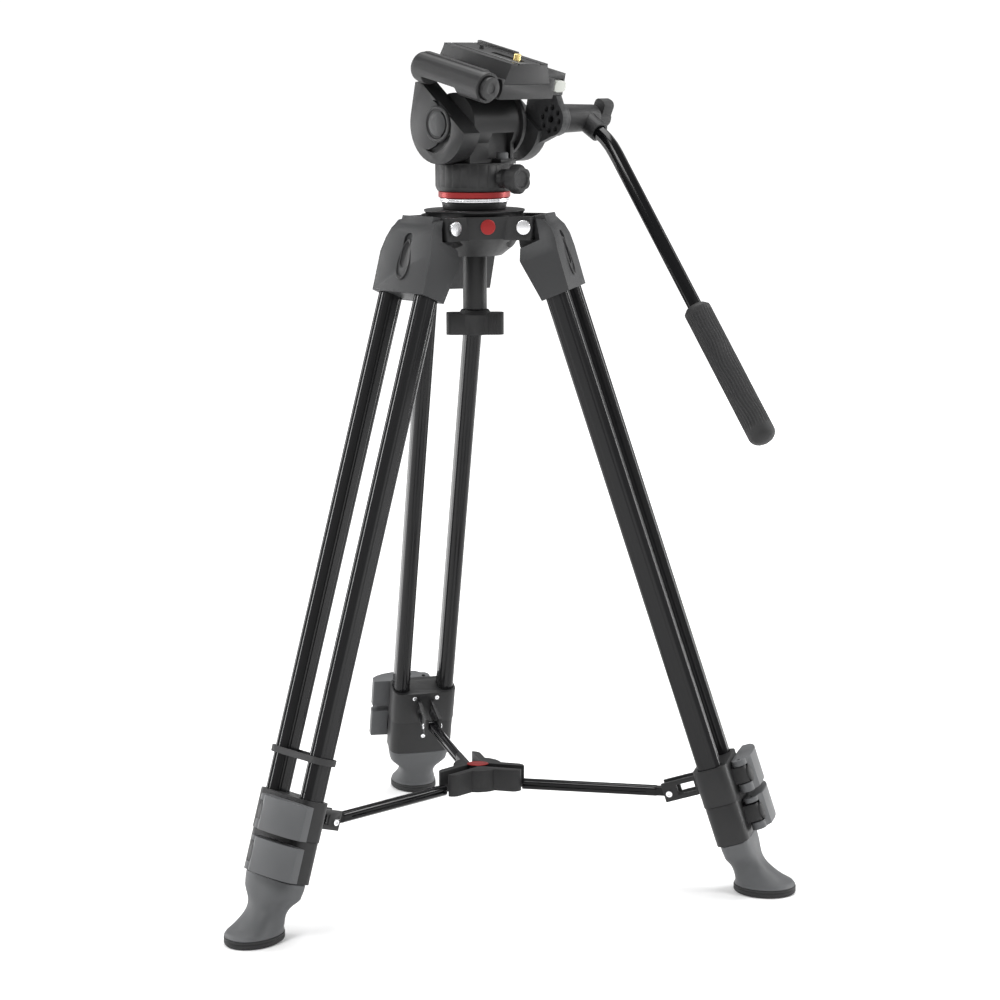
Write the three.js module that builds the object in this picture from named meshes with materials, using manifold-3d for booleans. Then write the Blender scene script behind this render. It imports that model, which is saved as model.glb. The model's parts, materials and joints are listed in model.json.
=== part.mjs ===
// Video tripod with a fluid head, folded to its shortest height and standing with its legs spread.
// Millimetres, +Z up. The tripod's axis is vertical and the soles stand on the plane z = 0 until the
// last lines shift the group so that the centre of its bounding box stands over the origin.
// Named groups mark the joints: a group's origin lies on its joint's axis.
import * as THREE from 'three';
import { mergeVertices } from 'three/addons/utils/BufferGeometryUtils.js';
import Module from 'manifold-3d';

const wasm = await Module();
wasm.setup();

// ---- driving dimensions -------------------------------------------------------------------
const GAP = 0.3;                    // clearance between pieces that touch on the real object
const CUT = 1;                      // how far a cutter runs past the face that it opens

const LEG_AZIMUTH = -15;            // first leg, degrees anticlockwise from +X; the others follow at 120
const LEG_TILT = 18.4;              // tubes from the vertical, degrees
const LEG_PIVOT_R = 51.3;           // leg hinge from the tripod's axis
const LEG_PIVOT_Z = 579.5;          // leg hinge above the floor
const TUBE_OFFSET = 8.4;            // tube centre line outside the leg hinge
const TUBE_SPREAD = 21.8;           // each tube from the middle of its leg

const UPPER_TUBE = { along: 21, across: 15, wall: 1.3 };
const MIDDLE_TUBE = { along: 17.8, across: 11.8, wall: 1.3 };
const LOWER_TUBE = { along: 14.6, across: 8.6 };
const UPPER_TUBE_TOP = -46;         // distances down a leg, measured from its hinge
const MIDDLE_TUBE_TOP = -92;
const LOWER_TUBE_TOP = -112;
const LOCK_CLEARANCE = 118.22;       // top of the upper clamp casting above the floor, along the leg
const UPPER_LOCK_H = 33.5;
const LOWER_LOCK_H = 35.5;

const LOCK_WIDTH = 62.4;            // clamp castings: width across both tubes
const LOCK_DEPTH = 30.5;
const LEVER_REACH = 45;             // free end of a clamp lever from the middle of the leg
const LEVER_PIVOT_OUT = 22.5;       // lever pin outside the tube centre line
const LEVER_PIVOT_SIDE = -6;        // lever pin from the middle of the leg
const LEVER_THICKNESS = 8.5;
const LEVER_H = 27;

const SOLE_OUT = 17.02;             // centre of a sole outside the point where the hinge's line meets the floor
const SOLE_LENGTH = 54.6;
const SOLE_WIDTH = 44.5;
const SOLE_H = 6.4;

const ARM_PIVOT_IN = 39.23;         // spreader: outer pivots, inside the hinge's line
const ARM_PIVOT_Z = 84;
const HUB_PIVOT_R = 28;             // spreader: inner pivots, on the hub
const HUB_PIVOT_Z = 80.6;
const HUB_TOP_Z = 96;
const ARM_H = 9.5;
const ARM_W = 9;

const SPIDER_RISE = 8.9;            // apex: top of the casting above the leg hinges
const SPIDER_H = 27;
const BALL_RISE = 1.6;              // centre of the ball above the apex casting
const BALL_R = 36;
const BALL_LIP_R = 43.8;
const BALL_LIP_RISE = 2.7;
const STEM_R = 10.4;
const BALL_KNOB_DROP = 84;          // top of the clamping knob below the centre of the ball
const BALL_KNOB_H = 21.5;

const BASE_R = 28.4;                // fluid head: turned base, rings and pan housing
const RING_R = 30;
const BASE_H = 6;
const RING_H = 3.4;
const SCALE_RING_R = 31.2;
const SCALE_RING_H = 5.4;
const CUP_R = 33.4;
const CUP_H = 24;
const HEAD_YAW = 44;                // tilt axis from +X, degrees anticlockwise
const HEAD_TILT = 12.5;             // camera platform's front end raised, degrees
const TILT_AXIS_RISE = 33.3;        // tilt axis above the pan housing's cup
const DRUM_R = 26;
const CHEEK_R = 34;
const CHEEK_LEFT = -43;             // outer faces of the cage's cheeks along the tilt axis
const CHEEK_RIGHT = 57;
const CHEEK_T = 12;
const PLATFORM_CLEARANCE = 7.5;     // platform's underside above the drum
const PLATFORM_H = 16.9;
const PLATE_H = 13;
const PLATFORM_REAR = -56;
const PLATFORM_FRONT = 36;
const PLATE_FRONT = 28;
const PLATE_BASE_W = 54;
const PLATE_TOP_W = 43;
const LATCH_R = 13;                 // long latch lever at the platform's left side
const LATCH_X = -42.5;
const LATCH_Z = 43;
const ROSETTE = { y: -41.3, z: 12.4, r: 15 };
const CLAMP_LENGTH = 40;            // pan bar clamp barrel along the rosette axis
const BAR_R = 6.4;
const BAR_DROP = 53.5;              // straight part of the pan bar below the horizontal, degrees
const BAR_LENGTH = 178;
const GRIP_R = 12;
const GRIP_LENGTH = 134;

// ---- places worked out from them ----------------------------------------------------------
const LEG_SLOPE = Math.tan(THREE.MathUtils.degToRad(LEG_TILT));
const LEG_LENGTH = LEG_PIVOT_Z / Math.cos(THREE.MathUtils.degToRad(LEG_TILT));
const UPPER_LOCK_TOP = LOCK_CLEARANCE - LEG_LENGTH;
const SOLE_R = LEG_PIVOT_R + LEG_PIVOT_Z * LEG_SLOPE + SOLE_OUT;
const ARM_PIVOT_R = LEG_PIVOT_R + (LEG_PIVOT_Z - ARM_PIVOT_Z) * LEG_SLOPE - ARM_PIVOT_IN;
const PLATFORM_BOTTOM = DRUM_R + PLATFORM_CLEARANCE;
const SPIDER_TOP_Z = LEG_PIVOT_Z + SPIDER_RISE;
const BALL_CENTRE_Z = SPIDER_TOP_Z + BALL_RISE;
const BALL_TOP_Z = BALL_CENTRE_Z + BALL_LIP_RISE;
const BALL_KNOB_TOP_Z = BALL_CENTRE_Z - BALL_KNOB_DROP;

// ---- small helpers ------------------------------------------------------------------------
const rad = THREE.MathUtils.degToRad;
const finishes = {
  casting: { color: 0x2b2c2d, roughness: 0.62, metalness: 0.1 },
  shoulder: { color: 0x3e3f40, roughness: 0.6, metalness: 0.05 },
  grey: { color: 0x5b5c5d, roughness: 0.55, metalness: 0.05 },
  gloss: { color: 0x0b0b0c, roughness: 0.18, metalness: 0.4 },
  rubber: { color: 0x1a1a1a, roughness: 0.85, metalness: 0 },
  steel: { color: 0xd0d2d4, roughness: 0.25, metalness: 1 },
  red: { color: 0x962824, roughness: 0.35, metalness: 0.3 },
  brass: { color: 0xc8a24a, roughness: 0.3, metalness: 1 },
  pale: { color: 0xa2a49e, roughness: 0.5, metalness: 0 },
};

function solidOf(geometry) {
  const bare = geometry.index ? geometry.toNonIndexed() : geometry.clone();
  bare.deleteAttribute('normal');
  bare.deleteAttribute('uv');
  const merged = mergeVertices(bare, 1e-4);
  return new wasm.Manifold(new wasm.Mesh({
    numProp: 3,
    vertProperties: new Float32Array(merged.attributes.position.array),
    triVerts: new Uint32Array(merged.index.array),
  }));
}

function geometryOf(solid) {
  const { vertProperties, triVerts } = solid.getMesh();
  const geometry = new THREE.BufferGeometry();
  geometry.setAttribute('position', new THREE.BufferAttribute(vertProperties, 3));
  geometry.setIndex(new THREE.BufferAttribute(triVerts, 1));
  geometry.computeVertexNormals();
  return geometry;
}

const join = (...solids) => solids.reduce((sum, solid) => sum.add(solid));
const cut = (base, ...tools) => tools.reduce((left, tool) => left.subtract(tool), base);
const common = (...solids) => solids.reduce((left, solid) => left.intersect(solid));

// Places a geometry as a solid: turned about X, Y, Z in degrees, then moved.
function placed(geometry, [x, y, z] = [0, 0, 0], [ax, ay, az] = [0, 0, 0]) {
  const turn = new THREE.Matrix4().makeRotationFromEuler(new THREE.Euler(rad(ax), rad(ay), rad(az)));
  geometry.applyMatrix4(turn);
  geometry.translate(x, y, z);
  return solidOf(geometry);
}

// A block between two corners.
function block([x0, y0, z0], [x1, y1, z1]) {
  const geometry = new THREE.BoxGeometry(x1 - x0, y1 - y0, z1 - z0);
  return placed(geometry, [(x0 + x1) / 2, (y0 + y1) / 2, (z0 + z1) / 2]);
}

// A cylinder or cone along X, Y or Z, from its starting point in the positive direction.
function rod(axis, [x, y, z], length, r, rEnd = r, sides = 16) {
  const geometry = new THREE.CylinderGeometry(rEnd, r, length, sides).translate(0, length / 2, 0);
  const turn = { x: [0, 0, -90], y: [0, 0, 0], z: [90, 0, 0] }[axis];
  return placed(geometry, [x, y, z], turn);
}

function ringRod(axis, from, length, rOuter, rInner, sides = 30) {
  const past = { x: [CUT, 0, 0], y: [0, CUT, 0], z: [0, 0, CUT] }[axis];
  const start = from.map((value, i) => value - past[i]);
  return cut(rod(axis, from, length, rOuter, rOuter, sides),
    rod(axis, start, length + 2 * CUT, rInner, rInner, sides));
}

// A turned solid about Z from [radius, height] points that start and end on the axis.
const turned = (points, sides = 28) => solidOf(
  new THREE.LatheGeometry(points.map(([r, z]) => new THREE.Vector2(r, z)), sides).rotateX(Math.PI / 2));

// A rectangle with round corners, centred on a point.
function roundedRect(width, height, radius, cx = 0, cy = 0) {
  const shape = new THREE.Shape();
  const x = cx - width / 2;
  const y = cy - height / 2;
  const r = Math.min(radius, width / 2, height / 2);
  shape.moveTo(x + r, y);
  shape.lineTo(x + width - r, y);
  shape.absarc(x + width - r, y + r, r, -Math.PI / 2, 0);
  shape.absarc(x + width - r, y + height - r, r, 0, Math.PI / 2);
  shape.absarc(x + r, y + height - r, r, Math.PI / 2, Math.PI);
  shape.absarc(x + r, y + r, r, Math.PI, 1.5 * Math.PI);
  return shape;
}

const outline = (points) => new THREE.Shape(points.map(([x, y]) => new THREE.Vector2(x, y)));

// A flat outline given a thickness along Z, X or Y. For X the outline's axes are Y and Z, for Y they
// are X and Z.
function slab(shape, from, to, axis = 'z', curveSegments = 3) {
  const geometry = new THREE.ExtrudeGeometry(shape, { depth: to - from, bevelEnabled: false, curveSegments });
  const [x, y, z] = [new THREE.Vector3(1, 0, 0), new THREE.Vector3(0, 1, 0), new THREE.Vector3(0, 0, 1)];
  geometry.translate(0, 0, axis === 'y' ? -to : from);
  if (axis === 'x') geometry.applyMatrix4(new THREE.Matrix4().makeBasis(y, z, x));
  if (axis === 'y') geometry.applyMatrix4(new THREE.Matrix4().makeBasis(x, z, y.negate()));
  return solidOf(geometry);
}

// A solid skinned over rounded rectangular sections. Each has a centre [x, z] in the XZ plane, a tilt
// about Y in degrees, and half sizes a (along X) and b (along Y).
function lofted(sections, squareness, sides = 16) {
  const points = [];
  for (const { x, z, tilt, a, b } of sections) {
    for (let i = 0; i < sides; i += 1) {
      const angle = (2 * Math.PI * i) / sides;
      const power = (value) => Math.sign(value) * Math.abs(value) ** (2 / squareness);
      const out = a * power(Math.cos(angle));
      points.push(x + out * Math.cos(rad(tilt)), b * power(Math.sin(angle)), z + out * Math.sin(rad(tilt)));
    }
  }
  const faces = [];
  for (let ring = 0; ring < sections.length - 1; ring += 1) {
    for (let i = 0; i < sides; i += 1) {
      const low = ring * sides;
      const next = (i + 1) % sides;
      faces.push(low + i, low + next, low + sides + i);
      faces.push(low + next, low + sides + next, low + sides + i);
    }
  }
  const top = (sections.length - 1) * sides;
  for (let i = 1; i < sides - 1; i += 1) {
    faces.push(0, i + 1, i);
    faces.push(top, top + i, top + i + 1);
  }
  const geometry = new THREE.BufferGeometry();
  geometry.setAttribute('position', new THREE.Float32BufferAttribute(points, 3));
  geometry.setIndex(faces);
  return solidOf(geometry);
}

function add(parent, name, solid, finish) {
  const mesh = new THREE.Mesh(geometryOf(solid), new THREE.MeshStandardMaterial(finishes[finish]));
  mesh.name = name;
  parent.add(mesh);
  return mesh;
}

// A named joint frame inside its parent.
function jointFrame(parent, name, position, rotation = [0, 0, 0]) {
  const group = new THREE.Group();
  group.name = name;
  group.position.set(...position);
  group.rotation.set(...rotation.map(rad));
  parent.add(group);
  return group;
}

// ---- legs ---------------------------------------------------------------------------------
// A leg's frame has its origin on the leg hinge, +X outward, +Y along the hinge and -Z down the leg.
const sideNames = { left: -1, right: 1 };
const UPPER_TUBE_END = UPPER_LOCK_TOP - UPPER_LOCK_H + 8;
const LOWER_LOCK_TOP = UPPER_LOCK_TOP - UPPER_LOCK_H - GAP;
const LOWER_LOCK_END = LOWER_LOCK_TOP - LOWER_LOCK_H;
const SHOULDER_W = 2 * TUBE_SPREAD + UPPER_TUBE.across + 4.4;
const SHOULDER_BOTTOM = -64;
const TONGUE_HALF = 19;
const HINGE_PIN_R = 4;
const CLEVIS_HALF = ARM_W / 2 + GAP;

function tubeShape({ along, across }, extra = 0) {
  return roundedRect(along + 2 * extra, across + 2 * extra, across * 0.42 + extra, TUBE_OFFSET, 0);
}

function tube(size, y, bottom, top, extra = 0) {
  return slab(tubeShape(size, extra), bottom, top, 'z', 2).translate([0, y, 0]);
}

function hollowTube(size, y, bottom, top) {
  return cut(tube(size, y, bottom, top), tube(size, y, bottom - CUT, top + CUT, -size.wall));
}

function addShoulder(frame, name) {
  const tongueSide = outline([[-8, 3], [-4, 6], [6, 7], [18, 5], [18, -34], [-8, -34], [-11, -14]]);
  const bodySide = outline([[11, 4], [17, 1], [21.5, -7], [23, -16], [21.6, SHOULDER_BOTTOM + 2],
    [-4, SHOULDER_BOTTOM], [-8, -44], [-12, -26], [-9, -16], [9.5, -14]]);
  const half = SHOULDER_W / 2;
  const front = outline([[-half + 8, 20], [half - 8, 20], [half - 7, -4], [half, -28],
    [half, SHOULDER_BOTTOM - CUT], [-half, SHOULDER_BOTTOM - CUT], [-half, -28], [-half + 7, -4]]);
  const body = join(slab(tongueSide, -TONGUE_HALF, TONGUE_HALF, 'y'),
    common(slab(bodySide, -SHOULDER_W, SHOULDER_W, 'y'), slab(front, -50, 50, 'x')));
  const sockets = Object.values(sideNames).map((sign) =>
    tube(UPPER_TUBE, sign * TUBE_SPREAD, SHOULDER_BOTTOM - CUT, UPPER_TUBE_TOP + GAP, GAP));
  const pinHole = rod('y', [0, -TONGUE_HALF - CUT, 0], 2 * TONGUE_HALF + 2 * CUT, HINGE_PIN_R + GAP);
  const recess = slab(roundedRect(9, 30, 4.5, 0, -26), 20.6, 40, 'x');
  add(frame, name, cut(body, ...sockets, pinHole, recess), 'shoulder');
}

function addUpperLock(frame, name) {
  const top = UPPER_LOCK_TOP;
  const bottom = top - UPPER_LOCK_H;
  const shell = slab(roundedRect(LOCK_DEPTH, LOCK_WIDTH, 9, TUBE_OFFSET, 0), bottom, top);
  const boss = leverBoss(bottom + 5, top - 4);
  const inner = TUBE_OFFSET - LOCK_DEPTH / 2;
  const [pivotX, pivotZ] = armPivotInLeg();
  const ears = [-1, 1].map((sign) => {
    const near = sign * CLEVIS_HALF;
    const far = sign * (CLEVIS_HALF + 3.4);
    return block([pivotX - 5, Math.min(near, far), pivotZ - 7], [inner + 2, Math.max(near, far), pivotZ + 10]);
  });
  const window = block([pivotX + 8, -30, pivotZ - 3], [inner - 6, 30, pivotZ + 6]);
  const sockets = Object.values(sideNames).flatMap((sign) => [
    tube(UPPER_TUBE, sign * TUBE_SPREAD, UPPER_TUBE_END - GAP, top + CUT, GAP),
    tube(MIDDLE_TUBE, sign * TUBE_SPREAD, bottom - CUT, top, GAP)]);
  const pinHole = rod('y', [pivotX, -20, pivotZ], 40, 1.8);
  const backs = ears.map((ear) => cut(ear, window));
  add(frame, name, cut(join(shell, boss, ...backs), ...sockets, pinHole, leverPin(bottom, top, GAP)), 'casting');
}

// The spreader arm's outer pivot, in the leg's frame.
function armPivotInLeg() {
  const out = ARM_PIVOT_R - LEG_PIVOT_R;
  const down = ARM_PIVOT_Z - LEG_PIVOT_Z;
  const [c, s] = [Math.cos(rad(LEG_TILT)), Math.sin(rad(LEG_TILT))];
  return [out * c + down * s, down * c - out * s];
}

function leverPin(bottom, top, extra = 0) {
  return rod('z', [TUBE_OFFSET + LEVER_PIVOT_OUT, LEVER_PIVOT_SIDE, bottom - CUT], top - bottom + 2 * CUT,
    1.6 + extra, 1.6 + extra, 10);
}

function leverBoss(bottom, top) {
  const x = TUBE_OFFSET + LEVER_PIVOT_OUT;
  const half = (top - bottom) / 2;
  const middle = (top + bottom) / 2;
  const web = block([TUBE_OFFSET + LOCK_DEPTH / 2 - 3, LEVER_PIVOT_SIDE - 5, middle - half + 5],
    [x, LEVER_PIVOT_SIDE + 5, middle + half - 5]);
  return join(web, rod('z', [x, LEVER_PIVOT_SIDE, middle - half + 5], 2 * half - 10, 5, 5, 20));
}

// A clamp lever: a curved plate with a forked root around the casting's boss.
function addLever(leg, name, top, h) {
  const x = TUBE_OFFSET + LEVER_PIVOT_OUT;
  const frame = jointFrame(leg, `${name}_joint`, [x, LEVER_PIVOT_SIDE, (top * 2 - h) / 2], [90, 0, 0]);
  const back = new THREE.Group();
  back.rotation.x = -Math.PI / 2;
  frame.add(back);
  const inside = TUBE_OFFSET + LOCK_DEPTH / 2 + GAP + 0.6 - x;
  const reach = LEVER_REACH - LEVER_PIVOT_SIDE;
  const shape = new THREE.Shape();
  shape.moveTo(inside, 0);
  shape.lineTo(inside, reach - 18);
  shape.quadraticCurveTo(inside + 1, reach - 6, inside + 1, reach);
  shape.lineTo(inside + LEVER_THICKNESS, reach);
  shape.quadraticCurveTo(inside + 19, reach - 10, 10, 7);
  shape.absarc(0, 0, -inside, 0.2, -Math.PI, true);
  const body = slab(shape, -LEVER_H / 2 - 1.5, LEVER_H / 2, 'z', 5);
  const notch = block([-30, -16, -h / 2 + 9.4 - GAP], [6.4, 7, h / 2 - 8.4 + GAP]);
  const hollow = block([inside - 1, 9, -8.5], [3, reach - 16, 8.5]);
  const pinHole = rod('z', [0, 0, -h], 2 * h, 1.6 + GAP, 1.6 + GAP, 10);
  add(back, name, cut(body, notch, hollow, pinHole), 'grey');
}

function addMiddleStage(frame, name) {
  const top = LOWER_LOCK_TOP;
  const bottom = LOWER_LOCK_END;
  const shell = slab(roundedRect(LOCK_DEPTH - 1, LOCK_WIDTH - 1, 9, TUBE_OFFSET, 0), bottom, top);
  const tubes = Object.values(sideNames).map((sign) =>
    tube(MIDDLE_TUBE, sign * TUBE_SPREAD, bottom, MIDDLE_TUBE_TOP));
  const bores = Object.values(sideNames).map((sign) =>
    tube(LOWER_TUBE, sign * TUBE_SPREAD, bottom - CUT, MIDDLE_TUBE_TOP + CUT, GAP));
  const boss = leverBoss(bottom + 5, top - 5);
  add(frame, name, cut(join(shell, boss, ...tubes), ...bores, leverPin(bottom, top, GAP)), 'casting');
}

// The lowest stage: two slim tubes in a boot that flares outward to an oval foot.
function addLowerStage(frame, name) {
  const legPoint = (z) => {
    const [c, s] = [Math.cos(rad(LEG_TILT)), Math.sin(rad(LEG_TILT))];
    return { x: LEG_PIVOT_R + TUBE_OFFSET * c - z * s, z: LEG_PIVOT_Z + TUBE_OFFSET * s + z * c };
  };
  const foot = { x: SOLE_R, z: SOLE_H + GAP };
  const top = legPoint(LOWER_LOCK_END - GAP);
  const low = legPoint(LOWER_LOCK_END - 13);
  const between = (share) => THREE.MathUtils.lerp(low.x, foot.x, share);
  const sections = [
    { ...foot, tilt: 0, a: SOLE_LENGTH / 2 - 0.6, b: SOLE_WIDTH / 2 - 0.5 },
    { x: foot.x - 0.8, z: foot.z + 2.2, tilt: 0, a: SOLE_LENGTH / 2 - 1.6, b: SOLE_WIDTH / 2 - 1 },
    { x: between(0.72), z: foot.z + 6.5, tilt: 3, a: 20.5, b: 19.6 },
    { x: between(0.42), z: foot.z + 13.5, tilt: 8, a: 15.8, b: 17.4 },
    { x: between(0.2), z: foot.z + 20.5, tilt: 13, a: 14, b: 19.5 },
    { ...low, tilt: LEG_TILT, a: 14.4, b: 28.4 },
    { ...top, tilt: LEG_TILT, a: 14.4, b: 30 },
  ];
  const upright = new THREE.Matrix4().makeRotationY(rad(LEG_TILT))
    .multiply(new THREE.Matrix4().makeTranslation(-LEG_PIVOT_R, 0, -LEG_PIVOT_Z));
  const boot = lofted(sections, 2.6).transform(upright.toArray());
  const tubes = Object.values(sideNames).map((sign) =>
    tube(LOWER_TUBE, sign * TUBE_SPREAD, LOWER_LOCK_END - 6, LOWER_TUBE_TOP));
  add(frame, name, join(boot, ...tubes), 'grey');
}

function addSole(frame, name) {
  const flat = new THREE.Group();
  flat.rotation.y = rad(LEG_TILT);
  frame.add(flat);
  const [c, s] = [Math.cos(rad(LEG_TILT)), Math.sin(rad(LEG_TILT))];
  const shape = new THREE.Shape();
  shape.absellipse(0, 0, SOLE_LENGTH / 2, SOLE_WIDTH / 2, 0, 2 * Math.PI);
  const out = SOLE_R - LEG_PIVOT_R;
  flat.position.set(out * c + -LEG_PIVOT_Z * s, 0, -LEG_PIVOT_Z * c - out * s);
  add(flat, name, slab(shape, 0, SOLE_H, 'z', 12), 'rubber');
}

// ---- spreader -----------------------------------------------------------------------------
// An arm's frame has its origin on the outer pivot and points inward along -X. The inner end stops
// short of the hub's screw, because the fold's ratio is constant and that pivot is left open.
const ARM_SHORT = 14;
const ARM_SPAN = Math.hypot(ARM_PIVOT_R - HUB_PIVOT_R, ARM_PIVOT_Z - HUB_PIVOT_Z);
const ARM_SLOPE = THREE.MathUtils.radToDeg(Math.atan2(ARM_PIVOT_Z - HUB_PIVOT_Z, ARM_PIVOT_R - HUB_PIVOT_R));

function addArm(frame, name) {
  const section = roundedRect(ARM_W - 0.6, ARM_H, 3.4);
  const bar = slab(section, -ARM_SPAN + ARM_SHORT, -13, 'x');
  const grooves = [-1, 1].map((sign) =>
    block([-ARM_SPAN - CUT, sign > 0 ? 2.6 : -8, -0.9], [-22, sign > 0 ? 8 : -2.6, 0.9]));
  const eye = rod('y', [0, -ARM_W / 2 + 0.3, 0], ARM_W - 0.6, 4.6);
  const neck = block([-14, -ARM_W / 2 + 0.6, -3.6], [0, ARM_W / 2 - 0.6, 3.6]);
  const pinHole = rod('y', [0, -10, 0], 20, 2.1);
  add(frame, name, cut(join(bar, eye, neck), pinHole, ...grooves), 'gloss');
}

function addHub(parent) {
  const lobe = (azimuth) => {
    const shape = roundedRect(36, 23, 8, 24, 0);
    return slab(shape, HUB_TOP_Z - 20, HUB_TOP_Z).rotate([0, 0, azimuth]);
  };
  const slot = (azimuth) => block([5.5, -ARM_W / 2 - 0.7, HUB_TOP_Z - 40], [60, ARM_W / 2 + 0.7, HUB_TOP_Z + 9])
    .rotate([0, 0, azimuth]);
  const azimuths = [0, 1, 2].map((leg) => LEG_AZIMUTH + 120 * leg);
  const middle = rod('z', [0, 0, HUB_TOP_Z - 20], 20, 22, 22, 36);
  add(parent, 'spreader_hub', cut(join(middle, ...azimuths.map(lobe)), ...azimuths.map(slot)), 'casting');
}

// ---- apex, half ball and its knob ---------------------------------------------------------
function addSpider(parent) {
  const top = SPIDER_TOP_Z;
  const bottom = top - SPIDER_H;
  const reach = LEG_PIVOT_R + 7;
  const arms = [0, 1, 2].map((leg) =>
    slab(roundedRect(reach, 2 * TONGUE_HALF + 17, 6, reach / 2, 0), bottom + 7, top)
      .rotate([0, 0, LEG_AZIMUTH + 120 * leg]));
  const bowl = turned([[0, bottom - 8], [24, bottom - 8], [44, bottom + 8], [46, top], [0, top]], 36);
  const tongues = [0, 1, 2].map((leg) =>
    block([LEG_PIVOT_R - 19, -TONGUE_HALF - GAP, bottom - 20], [90, TONGUE_HALF + GAP, top + 20])
      .rotate([0, 0, LEG_AZIMUTH + 120 * leg]));
  const pins = [0, 1, 2].map((leg) =>
    rod('y', [LEG_PIVOT_R, -40, LEG_PIVOT_Z], 80, HINGE_PIN_R + GAP).rotate([0, 0, LEG_AZIMUTH + 120 * leg]));
  const ball = placed(new THREE.SphereGeometry(BALL_R + GAP, 24, 14), [0, 0, BALL_CENTRE_Z]);
  const dish = turned([[0, top - 13], [BALL_R + 1, top - 13], [BALL_LIP_R + 2.6, top + CUT], [0, top + CUT]], 24);
  const throat = rod('z', [0, 0, bottom - 20], 40, 22);
  add(parent, 'apex_spider', cut(join(bowl, ...arms), ball, dish, throat, ...tongues, ...pins), 'casting');
}

// Hinge bolt through the spider's webs and a shoulder's tongue, with a round head at each end.
function addHingeBolt(parent, name, leg) {
  const webEnd = TONGUE_HALF + 8.5;
  const shank = rod('y', [LEG_PIVOT_R, -webEnd - 2, LEG_PIVOT_Z], 2 * webEnd + 4, HINGE_PIN_R, HINGE_PIN_R, 20);
  const heads = [-1, 1].map((sign) =>
    rod('y', [LEG_PIVOT_R, sign > 0 ? webEnd + GAP : -webEnd - GAP - 3, LEG_PIVOT_Z], 3, 6.2, 6.2, 20));
  add(parent, name, join(shank, ...heads).rotate([0, 0, LEG_AZIMUTH + 120 * leg]), 'steel');
}

function addHalfBall(frame) {
  const z = BALL_CENTRE_Z;
  const cap = placed(new THREE.SphereGeometry(BALL_R - 0.2, 24, 14), [0, 0, z]);
  const keep = rod('z', [0, 0, z - 22], 22 + BALL_TOP_Z - z, 60);
  const lip = turned([[0, z - 5], [38, z - 5], [BALL_LIP_R, BALL_TOP_Z - 1.2], [BALL_LIP_R, BALL_TOP_Z],
    [0, BALL_TOP_Z]], 30);
  add(frame, 'half_ball', cut(join(common(cap, keep), lip), rod('z', [0, 0, z - 40], 60, 6)), 'casting');
}

function addClampCup(frame) {
  const top = BALL_CENTRE_Z - 26.5;
  add(frame, 'ball_clamp_cup', cut(
    turned([[0, top - 8], [16, top - 8], [20.5, top], [0, top]], 36),
    rod('z', [0, 0, top - 20], 40, STEM_R + 3.5)), 'casting');
}

// The hidden stud up into the head's base, the stem and its collar.
function addStem(frame) {
  const collarTop = BALL_CENTRE_Z - 23;
  add(frame, 'ball_stem', turned([[0, BALL_KNOB_TOP_Z - 16], [4.6, BALL_KNOB_TOP_Z - 16],
    [4.6, BALL_KNOB_TOP_Z + GAP], [STEM_R, BALL_KNOB_TOP_Z + GAP], [STEM_R, collarTop - GAP],
    [5.6, collarTop - GAP], [5.6, BALL_TOP_Z - 1], [0, BALL_TOP_Z - 1]], 32), 'casting');
}

function addBallKnob(frame) {
  const top = BALL_KNOB_TOP_Z;
  const hub = rod('z', [0, 0, top - BALL_KNOB_H], BALL_KNOB_H - 2, 13);
  const neck = rod('z', [0, 0, top - 4], 4, 14.5, 12);
  const wing = slab(roundedRect(50, 19, 5), top - BALL_KNOB_H, top - 3);
  const ribs = [...Array(6).keys()].flatMap((i) => [-1, 1].map((sign) =>
    rod('z', [sign * (11 + 2.4 * i), sign * -9.9, top - 30], 40, 0.8, 0.8, 8)));
  add(frame, 'ball_knob', cut(join(hub, neck, wing), ...ribs, rod('z', [0, 0, top - 17], 30, 4.6 + GAP)), 'rubber');
}

// ---- fluid head: base and pan housing -----------------------------------------------------
const BASE_Z = BALL_TOP_Z + GAP;
const RING_Z = BASE_Z + BASE_H + GAP;
const SCALE_RING_Z = RING_Z + RING_H + GAP;
const CUP_Z = SCALE_RING_Z + SCALE_RING_H + GAP;
const CUP_TOP = CUP_Z + CUP_H;
const TILT_AXIS_Z = CUP_TOP + TILT_AXIS_RISE;
const AXLE_R = 6;
const SPINDLE_R = 9;
const BLOCK_LEFT = -24;
const BLOCK_RIGHT = 34;
const PAN_KNOB_AZIMUTH = -86;       // pan lock, degrees from the tilt axis
const PAN_KNOB_Z = CUP_Z + 11;

function addHeadBase(frame) {
  const disc = turned([[0, BASE_Z], [BASE_R - 1.4, BASE_Z], [BASE_R, BASE_Z + BASE_H], [0, BASE_Z + BASE_H]]);
  const spindle = rod('z', [0, 0, BASE_Z + 2], CUP_Z + 14 - BASE_Z, SPINDLE_R);
  add(frame, 'head_base', join(disc, spindle), 'casting');
  add(frame, 'base_ring', ringRod('z', [0, 0, RING_Z], RING_H, RING_R, SPINDLE_R + GAP, 36), 'steel');
}

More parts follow.
